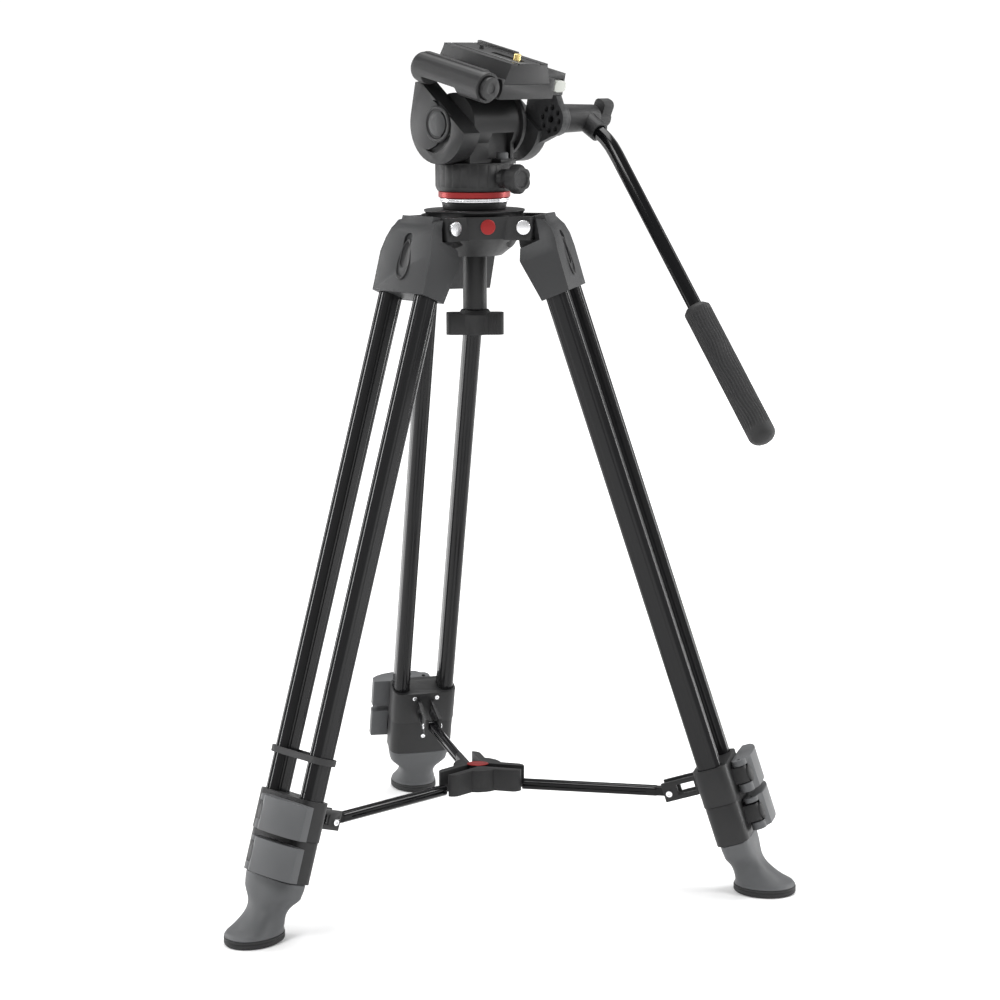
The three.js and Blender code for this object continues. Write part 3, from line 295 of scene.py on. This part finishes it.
def skinned(name, rings, matrix, closed_ends=True, smooth=35):
    """Skins a list of equal rings of points."""
    sides = len(rings[0])
    points = [p for ring in rings for p in ring]
    faces = []
    for row in range(len(rings) - 1):
        for i in range(sides):
            j = (i + 1) % sides
            faces.append((row * sides + i, row * sides + j, (row + 1) * sides + j, (row + 1) * sides + i))
    if closed_ends:
        faces.append(tuple(reversed(range(sides))))
        faces.append(tuple((len(rings) - 1) * sides + i for i in range(sides)))
    return make(name, points, faces, matrix, smooth)


def place(origin, z_axis, x_hint=(1, 0, 0)):
    """A local frame inside another: its Z axis is given."""
    z = Vector(z_axis).normalized()
    y = z.cross(Vector(x_hint)).normalized()
    x = y.cross(z)
    return Matrix.Translation(Vector(origin)) @ Matrix((x, y, z)).transposed().to_4x4()


def socket_screw(name, matrix, radius, height, slot, body, sides=40):
    """A round screw head with a rounded rim and a hexagonal socket."""
    rim = 0.18 * radius
    key = radius * 0.5
    points, faces = [], []
    rings = [(radius, 0), (radius, height - rim), (radius - 0.3 * rim, height - 0.3 * rim),
             (radius - rim, height)]
    for r, z in rings:
        points += [(r * math.cos(2 * math.pi * i / sides), r * math.sin(2 * math.pi * i / sides), z)
                   for i in range(sides)]
    for z in (height, height - 0.75 * height):
        for i in range(sides):
            angle = 2 * math.pi * i / sides
            sector = (angle + math.pi / 6) % (math.pi / 3) - math.pi / 6
            reach = key * math.cos(math.pi / 6) / math.cos(sector)
            points.append((reach * math.cos(angle), reach * math.sin(angle), z))
    for row in range(5):
        for i in range(sides):
            j = (i + 1) % sides
            faces.append((row * sides + i, row * sides + j, (row + 1) * sides + j, (row + 1) * sides + i))
    faces.append(tuple(5 * sides + i for i in range(sides)))
    faces.append(tuple(reversed(range(sides))))
    return finish_piece(make(name, points, faces, matrix, 30), slot, body)


# ---- legs -------------------------------------------------------------------------------------
def body_of(node):
    return frame["nodes"][node]["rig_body"]


def refined(node, width=0.6, slot=None):
    """A CAD casting with rounded edges, in place of its plain solid."""
    obj = bevelled(copy_of(node, node + "_skin"), width)
    return finish_piece(obj, slot or SLOT_OF[node], body_of(node), node)


def densely(points, step=0.7):
    """Adds points along an outline's long sides."""
    out = []
    for i, (x, y) in enumerate(points):
        nx, ny = points[(i + 1) % len(points)]
        count = max(1, round(math.hypot(nx - x, ny - y) / step))
        out += [(x + (nx - x) * k / count, y + (ny - y) * k / count) for k in range(count)]
    return out


def upper_tube(leg, side):
    """An oval hollow tube with a groove along each edge and four along its broad faces."""
    node = f"{leg}_tube_{'left' if side < 0 else 'right'}"
    matrix = leg_frame(leg)
    low, high = local_box(node, matrix)
    centre = (low + high) / 2
    width, depth = high.x - low.x, high.y - low.y
    base = densely(rounded_section(width, depth, depth * TUBE_ROUND, 10))
    lines = [(sx * width * 0.22, sy * depth / 2) for sx in (-1, 1) for sy in (-1, 1)]
    lines += [(sx * width / 2, 0) for sx in (-1, 1)]
    section = []
    for x, y in base:
        dip = max(0.5 * math.exp(-((x - gx) ** 2 + (y - gy) ** 2) / 0.5) for gx, gy in lines)
        length = math.hypot(x, y)
        section.append((x * (1 - dip / length), y * (1 - dip / length)))
    inner = [(x * (1 - 2 * TUBE_WALL / width), y * (1 - 2 * TUBE_WALL / depth)) for x, y in base]
    rings = []
    for shape, z in ((inner, low.z), (section, low.z), (section, high.z), (inner, high.z), (inner, low.z)):
        rings.append([(centre.x + x, centre.y + y, z) for x, y in shape])
    obj = skinned(node + "_skin", rings, matrix, False)
    finish_piece(obj, "black_gloss", leg, node)


def boot_ring(x, z, tilt, a, b, squareness, sides=64):
    """A rounded section of the boot: half sizes a and b, tipped about the hinge's direction."""
    points = []
    for i in range(sides):
        angle = 2 * math.pi * i / sides
        c, s = math.cos(angle), math.sin(angle)
        out = a * math.copysign(abs(c) ** (2 / squareness), c)
        across = b * math.copysign(abs(s) ** (2 / squareness), s)
        points.append((x + out * math.cos(tilt), across, z + out * math.sin(tilt)))
    return points


def boot(leg):
    """The flared foot casting: smooth sections blended from the lock down to the oval sole."""
    node = leg + "_lower_stage"
    hinge = leg_frame(leg)
    level = ground_frame(leg)
    sole_low, sole_high = local_box(leg + "_sole", level)
    centre = (sole_low + sole_high) / 2
    sole_a, sole_b = (sole_high.x - sole_low.x) / 2, (sole_high.y - sole_low.y) / 2
    sole_top = sole_high.z + 0.3
    middle_low = local_box(leg + "_middle_stage", hinge)[0]
    inward = level.inverted() @ hinge
    outward = inward.to_3x3() @ Vector((1, 0, 0))
    tilt = math.atan2(outward.z, outward.x)

    def on_leg(down):
        return inward @ Vector((TUBE_X, 0, middle_low.z - down))

    top, low = on_leg(0.3), on_leg(13)
    rows = [
        (centre.x, sole_top, 0, sole_a - 0.9, sole_b - 0.8, 2.1),
        (centre.x, sole_top + 0.8, 0, sole_a - 0.7, sole_b - 0.6, 2.1),
        (centre.x - 0.6, sole_top + 2.4, 0.02, sole_a - 1.9, sole_b - 1.3, 2.1),
        (centre.x - 0.28 * (centre.x - low.x), sole_top + 6.5, tilt * 0.16, 20.3, 19.4, 2.3),
        (centre.x - 0.58 * (centre.x - low.x), sole_top + 13.5, tilt * 0.45, 15.6, 17.2, 2.5),
        (centre.x - 0.8 * (centre.x - low.x), sole_top + 20.5, tilt * 0.7, 13.8, 19.3, 2.7),
        (low.x, low.z, tilt, 14.1, 28.1, 3.2),
        (on_leg(5).x, on_leg(5).z, tilt, 14.2, 29.6, 3.4),
        (on_leg(1.2).x, on_leg(1.2).z, tilt, 14.2, 29.8, 3.4),
        (top.x, top.z, tilt, 13.4, 29, 3.4),
    ]
    blended = []
    for i in range(len(rows) - 1):
        before, after = rows[max(i - 1, 0)], rows[min(i + 2, len(rows) - 1)]
        steps = 5 if 2 <= i <= 5 else 1
        for k in range(steps):
            blended.append(catmull(before, rows[i], rows[i + 1], after, k / steps))
    blended.append(rows[-1])
    rings = [boot_ring(*row) for row in blended]
    body = skinned(node + "_boot", rings, level)
    finish_piece(body, "grey_plastic", leg + "_lower", node)
    stage_tubes(leg, leg + "_lower_stage", leg + "_lower", *LOWER_TUBE, middle_low.z + 1, "lower")
    return body


def catmull(p0, p1, p2, p3, t):
    return tuple(0.5 * (2 * b + (c - a) * t + (2 * a - 5 * b + 4 * c - d) * t * t
                        + (3 * b - a - 3 * c + d) * t ** 3) for a, b, c, d in zip(p0, p1, p2, p3))


def stage_tubes(leg, node, body, width, depth, bottom, label):
    """The pair of slim tubes that slide inside the stage above."""
    matrix = leg_frame(leg)
    top = local_box(node, matrix)[1].z
    for side in SIDES:
        section = rounded_section(width, depth, depth * TUBE_ROUND)
        rings = [[(TUBE_X + x, side * TUBE_SPREAD + y, z) for x, y in section] for z in (bottom, top)]
        name = f"{leg}_{label}_tube_{'left' if side < 0 else 'right'}"
        finish_piece(skinned(name, rings, matrix), "black_gloss", body)


def sole(leg):
    """The rubber sole, with a waist line round its wall."""
    node = leg + "_sole"
    level = ground_frame(leg)
    low, high = local_box(node, level)
    centre = (low + high) / 2
    a, b = (high.x - low.x) / 2, (high.y - low.y) / 2
    wall = ((1.6, 0), (0.5, 0.4), (0, 1.4), (0, 3.2), (0.5, 3.6), (0.5, 4.2), (0, 4.6), (0, 5.7), (0.7, 6.4))
    rings = []
    for inset, z in wall:
        rings.append([(centre.x + (a - inset) * math.cos(t), centre.y + (b - inset) * math.sin(t), low.z + z)
                      for t in (2 * math.pi * i / 96 for i in range(96))])
    finish_piece(skinned(node + "_skin", rings, level, True, 60), "black_rubber", leg + "_lower", node)


def shoulder_eye(leg):
    """The oval rim and hollow on a shoulder's outer face."""
    matrix = leg_frame(leg)
    face = local_box(leg + "_shoulder", matrix)[1].x - 0.9
    at = matrix @ place((face, 0, -34), (1, 0, 0.03), (0, 1, 0))
    profile = ((7.6, 17.6, -1.5), (7.6, 17.6, 0.3), (7.0, 17.0, 0.95), (6.2, 16.0, 0.85),
               (5.4, 14.8, -0.6), (4.6, 13.6, -0.9), (0.02, 0.02, -1.0))
    rings = []
    for a, b, z in profile:
        ring = []
        for i in range(72):
            angle = 2 * math.pi * i / 72
            narrow = 1 - 0.22 * math.sin(angle)
            ring.append((a * narrow * math.cos(angle), b * math.sin(angle), z))
        rings.append(ring)
    finish_piece(skinned(leg + "_shoulder_eye", rings, at), "black_casting", leg)


def lever_cap(node):
    """The dark oval cap over a clamp lever's pivot."""
    leg = node[:5]
    matrix = leg_frame(leg)
    low, high = local_box(node, matrix)
    at = matrix @ place((high.x - 5.2, LEVER_PIVOT_SIDE + 2, (low.z + high.z) / 2), (1, -0.35, 0), (0, 1, 0))
    rings = []
    for share, z in ((1.0, -3), (1.0, 1.2), (0.93, 1.8), (0.8, 2.1), (0.4, 2.3), (0.02, 2.4)):
        rings.append([(4.6 * share * math.cos(t), 7.2 * share * math.sin(t), z)
                      for t in (2 * math.pi * i / 56 for i in range(56))])
    finish_piece(skinned(node + "_cap", rings, at), "black_casting", body_of(node))


tube_low, tube_high = local_box("leg_1_tube_right", leg_frame("leg_1"))
TUBE_X = (tube_low.x + tube_high.x) / 2
TUBE_SPREAD = (tube_low.y + tube_high.y) / 2


def legs():
    for leg in LEGS:
        for side in SIDES:
            upper_tube(leg, side)
        refined(leg + "_shoulder", 0.9)
        refined(leg + "_upper_lock", 0.8)
        refined(leg + "_middle_stage", 0.8)
        for lever in ("_upper_lever", "_lower_lever"):
            refined(leg + lever, 2.0)
            lever_cap(leg + lever)
        shoulder_eye(leg)
        refined(leg + "_spreader_arm", 0.5)
        boot(leg)
        sole(leg)


HEAD_PARTS = ("apex_spider", "leg_1_hinge_bolt", "leg_2_hinge_bolt", "leg_3_hinge_bolt", "spreader_hub",
              "ball_clamp_cup", "half_ball", "ball_stem", "head_base", "base_ring", "ball_knob", "scale_ring",
              "pan_housing", "level_vial", "tilt_axle", "pan_lock_knob", "cheek_left", "cheek_right",
              "platform",
              "camera_plate", "camera_screw", "plate_latch", "latch_button", "release_button", "rosette",
              "bar_clamp", "pan_bar", "pan_bar_grip", "bar_knob")


# ---- head -------------------------------------------------------------------------------------
def turned_ring(node, slot, bore, chamfer=0.5, grooves=()):
    """A turned ring in place of a CAD one, with fine grooves at shares of its height."""
    matrix = upright("pan")
    low, high = local_box(node, matrix)
    radius = (high.x - low.x) / 2
    height = high.z - low.z
    profile = [(bore, low.z), (radius - chamfer, low.z), (radius, low.z + chamfer)]
    for share in grooves:
        z = low.z + share * height
        profile += [(radius, z - 0.3), (radius - 0.45, z), (radius, z + 0.3)]
    profile += [(radius, high.z - chamfer), (radius - chamfer, high.z), (bore, high.z), (bore, low.z)]
    return finish_piece(lathe(node + "_skin", profile, matrix, 128), slot, body_of(node), node)


def base_cup_band():
    """Shallow upright ridges round the pan housing's cup."""
    matrix = upright("pan")
    low = local_box("pan_housing", matrix)[0]
    count, sides = 26, 520
    rings = []
    for z, swell in ((1.2, -0.5), (2.0, 0.3), (20.5, 0.3), (21.3, -0.5)):
        ring = []
        for i in range(sides):
            angle = 2 * math.pi * i / sides
            wave = abs(math.sin(count * angle / 2)) ** 0.4
            radius = CUP_R + swell * wave - 0.25 * (1 - wave)
            ring.append((radius * math.cos(angle), radius * math.sin(angle), low.z + 2 + z))
        rings.append(ring)
    finish_piece(skinned("cup_ridges", rings, matrix, True, 50), "black_casting", "pan")


def star_knob(name, matrix, radius, height, lobes, slot, body, *nodes, depth=0.13):
    """A lobed hand knob with a dished face, turned up its local Z axis."""
    sides = lobes * 24
    rings = []
    for share, z in ((0.0, 0), (0.8, 0), (0.96, 0.12), (1.0, 0.3), (1.0, 0.72), (0.95, 0.9), (0.86, 1.0),
                     (0.6, 1.0), (0.5, 0.9), (0.0, 0.86)):
        ring = []
        for i in range(sides):
            angle = 2 * math.pi * i / sides
            lobe = 1 - depth * (0.5 - 0.5 * math.cos(lobes * angle)) ** 1.5
            reach = max(radius * share * (lobe if share > 0.7 else 1), 0.02)
            ring.append((reach * math.cos(angle), reach * math.sin(angle), z * height))
        rings.append(ring)
    return finish_piece(skinned(name, rings, matrix), slot, body, *nodes)


def pan_knob():
    matrix = frame_at(JOINTS["pan_lock_turn"]["pos_m"], (0, 0, 1), JOINTS["pan_lock_turn"]["axis"])
    low, high = local_box("pan_lock_knob", matrix)
    if abs(low.z) > abs(high.z):
        matrix = matrix @ Matrix.Rotation(math.pi, 4, "X")
        low, high = local_box("pan_lock_knob", matrix)
    profile = [(0.05, low.z), (3, low.z), (3, low.z + 4), (8.2, CUP_R + 5.2), (8.2, CUP_R + 9),
               (7.2, CUP_R + 10.2), (0.05, CUP_R + 10.2)]
    finish_piece(lathe("pan_knob_collar", profile, matrix), "black_casting", "pan_knob")
    star = matrix @ Matrix.Translation((0, 0, CUP_R + 10))
    height = high.z - CUP_R - 10.2
    star_knob("pan_knob_star", star, 12.6, height, 6, "black_rubber", "pan_knob", "pan_lock_knob")


def latch():
    """The long lever at the platform's side, with the soft edges of a moulding."""
    obj = moulded(copy_of("plate_latch", "latch_skin"), 0.55, 8, 0.5)
    finish_piece(obj, SLOT_OF["plate_latch"], body_of("plate_latch"), "plate_latch")


def cheek_drag_dial():
    """The tilt drag wheel, sunk in the left cheek and open along a crescent."""
    matrix = tilt_frame()
    low = local_box("cheek_left", matrix)[0]
    face = matrix @ place((low.x, 0, 0), (-1, 0, 0), (0, 1, 0))
    rim = [(15.4, -1.0), (15.4, 0.1), (14.6, 0.9), (12.9, 0.9), (12.2, 0.2), (12.0, -1.0), (15.4, -1.0)]
    finish_piece(lathe("drag_dial_rim", rim, face, 96), "black_casting", "cage")
    dial = [(0.05, -1), (0.05, 1.5), (5.5, 1.4), (8.8, 0.9), (10.2, 0.1), (10.4, -1.0), (0.05, -1)]
    finish_piece(lathe("drag_dial", dial, face, 96), "shoulder_casting", "cage")


def grip():
    """The soft grip: lengthwise ribs that wander a little, and a rounded end."""
    points = [v.co.copy() for v in frame["nodes"]["pan_bar_grip"].data.vertices]
    centre = sum(points, Vector()) / len(points)
    start = Vector(JOINTS["pan_bar_swing"]["pos_m"])
    far = max(points, key=lambda p: (p - start).length)
    near = min(points, key=lambda p: (p - start).length)
    flat = Vector(JOINTS["pan_bar_swing"]["axis"])
    axis = (far - near) - flat * (far - near).dot(flat)
    axis = best_axis(points, centre, axis.normalized())
    local = frame_at(centre, flat, axis)
    inverse = local.inverted()
    shape = [inverse @ p for p in points]
    low_z, high_z = min(p.z for p in shape), max(p.z for p in shape)
    if (local @ Vector((0, 0, low_z)) - start).length > (local @ Vector((0, 0, high_z)) - start).length:
        local = local @ Matrix.Rotation(math.pi, 4, "X")
        low_z, high_z = -high_z, -low_z
    radius = max(math.hypot(p.x, p.y) for p in shape) - 0.15
    length = high_z - low_z
    sides, rows, ribs = 252, 90, 28
    rings = [[(6.6 * math.cos(2 * math.pi * i / sides), 6.6 * math.sin(2 * math.pi * i / sides), low_z)
              for i in range(sides)]]
    for row in range(rows + 1):
        t = row / rows
        z = low_z + 0.3 + t * (length - 0.3)
        end = min(1, math.sqrt(max(0, 1 - max(0, (t * length - (length - 9)) / 9.2) ** 2)))
        collar = min(1, 0.72 + t * length / 3.2 * 0.28)
        depth = 0.75 * min(1, max(0, (t * length - 5) / 4)) * min(1, max(0, (length - 13 - t * length) / 4))
        ring = []
        for i in range(sides):
            angle = 2 * math.pi * i / sides
            sway = 0.09 * math.sin(t * 9.5) + 0.05 * math.sin(t * 23 + 1.3)
            rib = (0.5 - 0.5 * math.cos(ribs * (angle + sway))) ** 0.7
            reach = max((radius - depth * (1 - rib)) * end * collar, 0.05)
            ring.append((reach * math.cos(angle), reach * math.sin(angle), z))
        rings.append(ring)
    finish_piece(skinned("grip_skin", rings, local, True, 60), "black_rubber", "pan_bar", "pan_bar_grip")


def best_axis(points, centre, guess):
    """Refines a long part's axis from its points."""
    axis = guess
    for _ in range(12):
        total = Vector((0, 0, 0))
        for p in points:
            away = p - centre
            total += away * away.dot(axis)
        axis = total.normalized()
    return axis


def screw_heads():
    """Small steel screws and bolts that the castings carry."""
    for leg in LEGS:
        matrix = leg_frame(leg)
        low, high = local_box(leg + "_upper_lock", matrix)
        shell_x = TUBE_X - LOCK_DEPTH / 2
        for side in SIDES:
            at = place((shell_x + 0.2, side * 11, high.z - 5), (-1, 0, 0), (0, 1, 0))
            name = f"{leg}_lock_screw_{'a' if side < 0 else 'b'}"
            socket_screw(name, matrix @ at, 2.3, 1.0, "bright_steel", leg)
        at = place((TUBE_X - 14.6, 0, low.z - 16), (-1, 0, 0), (0, 1, 0))
        socket_screw(leg + "_stage_screw", matrix @ at, 2.2, 0.9, "bright_steel", leg + "_middle")
        arm = frame_at(JOINTS[leg + "_arm_fold"]["pos_m"], JOINTS[leg + "_spread"]["axis"], (0, 0, 1))
        for side in SIDES:
            at = place((side * 8.4, 0, 0), (side, 0, 0), (0, 1, 0))
            name = f"{leg}_arm_bolt_{'a' if side < 0 else 'b'}"
            socket_screw(name, arm @ at, 3.0, 1.1, "bright_steel", leg)


def emblem(name, matrix, a, b, body):
    """A plain raised badge: a domed red disc in a thin rim, with no mark on it."""
    profile = ((1.0, 0), (1.0, 0.5), (0.94, 0.75), (0.86, 0.75), (0.84, 0.6), (0.5, 0.78), (0.02, 0.85))
    rings = []
    for share, z in profile:
        rings.append([(a * share * math.cos(t), b * share * math.sin(t), z)
                      for t in (2 * math.pi * i / 72 for i in range(72))])
    finish_piece(skinned(name, rings, matrix), "red_anodised", body)


def badges():
    hub = upright("level_side")
    high = local_box("spreader_hub", hub)[1]
    emblem("hub_badge", hub @ Matrix.Translation((0, 0, high.z + 0.1)), 9.6, 6.4, "hub")
    facing = Vector((math.cos(math.radians(-75)), math.sin(math.radians(-75)), 0))
    at = place(facing * 45.6 + Vector((0, 0, -10)), facing, (0, 0, 1))
    emblem("apex_badge", hub @ at, 6.4, 6.4, "tripod_apex")


def tube_clip():
    """The band that holds the front-left leg's two tubes together above its lock."""
    matrix = leg_frame("leg_3")
    top = local_box("leg_3_upper_lock", matrix)[1].z
    outer = [(TUBE_X + y, x) for x, y in densely(rounded_section(69, 24.5, 11, 10), 1.5)]
    inner = [(TUBE_X + y, x) for x, y in densely(rounded_section(66, 21.5, 9.6, 10), 1.5)]
    count = min(len(outer), len(inner))
    outer, inner = outer[:count], inner[:count]
    z0, z1 = top + 31, top + 36.5
    rings = [[(x, y, z) for x, y in shape]
             for shape, z in ((inner, z0), (outer, z0), (outer, z1), (inner, z1), (inner, z0))]
    finish_piece(skinned("tube_clip", rings, matrix, False, 50), "black_rubber", "leg_3")


DETAILED = ("level_vial", "base_ring", "scale_ring", "pan_lock_knob", "plate_latch", "pan_bar_grip")


def head():
    turned_ring("base_ring", "bright_steel", SPINDLE_BORE, 0.4, (0.5,))
    turned_ring("scale_ring", "red_anodised", SPINDLE_BORE, 0.5)
    for node in HEAD_PARTS:
        if node not in DETAILED:
            refined(node, 0.5)
    refined("level_vial", 0.5, "grey_plastic")
    base_cup_band()
    pan_knob()
    latch()
    cheek_drag_dial()
    grip()
    screw_heads()
    badges()
    tube_clip()


# ---- scene: camera, floor and light -----------------------------------------------------------
def camera():
    data = bpy.data.cameras.new("camera")
    data.lens = 87.54
    data.sensor_width = 36
    obj = bpy.data.objects.new("camera", data)
    axis = Vector(JOINTS["level_side"]["pos_m"])
    obj.location = (axis.x + 0.02104, axis.y - 2.10907, 0.72265)
    obj.rotation_mode = "QUATERNION"
    pitch = Matrix.Rotation(math.radians(90 - 10.355), 4, "X")
    roll = Matrix.Rotation(math.radians(-0.236), 4, "Z")
    obj.rotation_quaternion = (pitch @ roll).to_quaternion()
    bpy.context.scene.collection.objects.link(obj)
    bpy.context.scene.camera = obj


def studio():
    bpy.ops.mesh.primitive_plane_add(size=30, location=(0, 0, -0.0005))
    floor = bpy.context.object
    mat = bpy.data.materials.new("paper")
    mat.use_nodes = True
    nodes, links = mat.node_tree.nodes, mat.node_tree.links
    shader = nodes["Principled BSDF"]
    shader.inputs["Roughness"].default_value = 0.9
    texture = nodes.new("ShaderNodeTexNoise")
    texture.inputs["Scale"].default_value = 3
    ramp = nodes.new("ShaderNodeMapRange")
    ramp.inputs["To Min"].default_value = 0.93
    ramp.inputs["To Max"].default_value = 0.96
    links.new(texture.outputs["Fac"], ramp.inputs["Value"])
    links.new(ramp.outputs["Result"], shader.inputs["Base Color"])
    where = nodes.new("ShaderNodeTexCoord")
    away = nodes.new("ShaderNodeVectorMath")
    away.operation = "LENGTH"
    glow = nodes.new("ShaderNodeMapRange")
    glow.inputs["From Min"].default_value = 0.6
    glow.inputs["From Max"].default_value = 2.4
    glow.inputs["To Max"].default_value = 0.85
    links.new(where.outputs["Object"], away.inputs[0])
    links.new(away.outputs["Value"], glow.inputs["Value"])
    links.new(glow.outputs["Result"], shader.inputs["Emission Strength"])
    shader.inputs["Emission Color"].default_value = (1, 1, 1, 1)
    floor.data.materials.append(mat)
    world = bpy.data.worlds.new("studio")
    world.use_nodes = True
    nodes, links = world.node_tree.nodes, world.node_tree.links
    seen = nodes.new("ShaderNodeLightPath")
    strength = nodes.new("ShaderNodeMapRange")
    strength.inputs["To Min"].default_value = 0.42
    strength.inputs["To Max"].default_value = 1.05
    links.new(seen.outputs["Is Camera Ray"], strength.inputs["Value"])
    links.new(strength.outputs["Result"], nodes["Background"].inputs["Strength"])
    nodes["Background"].inputs["Color"].default_value = (1, 1, 1, 1)
    bpy.context.scene.world = world
    for name, side in (("edge_left", -1), ("edge_right", 1)):
        data = bpy.data.lights.new(name, "AREA")
        data.shape = "RECTANGLE"
        data.size = 0.35
        data.size_y = 2.0
        data.energy = 26
        light = bpy.data.objects.new(name, data)
        light.location = (side * 1.9, 0.7, 0.9)
        light.rotation_mode = "QUATERNION"
        light.rotation_quaternion = (Vector((0, 0, 0.45)) - light.location).to_track_quat("-Z", "Y")
        bpy.context.scene.collection.objects.link(light)
    softboxes = (("key", (-1.7, -1.5, 2.2), 0.9, 42), ("fill", (2.0, -0.9, 1.6), 0.8, 26),
                 ("top", (0.1, 0.5, 2.8), 1.6, 62))
    for name, place_at, size, power in softboxes:
        data = bpy.data.lights.new(name, "AREA")
        data.size = size
        data.energy = power
        light = bpy.data.objects.new(name, data)
        light.location = place_at
        aim = Vector((0, 0, 0.35)) - Vector(place_at)
        light.rotation_mode = "QUATERNION"
        light.rotation_quaternion = aim.to_track_quat("-Z", "Y")
        bpy.context.scene.collection.objects.link(light)


legs()
head()
camera()
studio()
bpy.context.scene.view_settings.view_transform = "Standard"
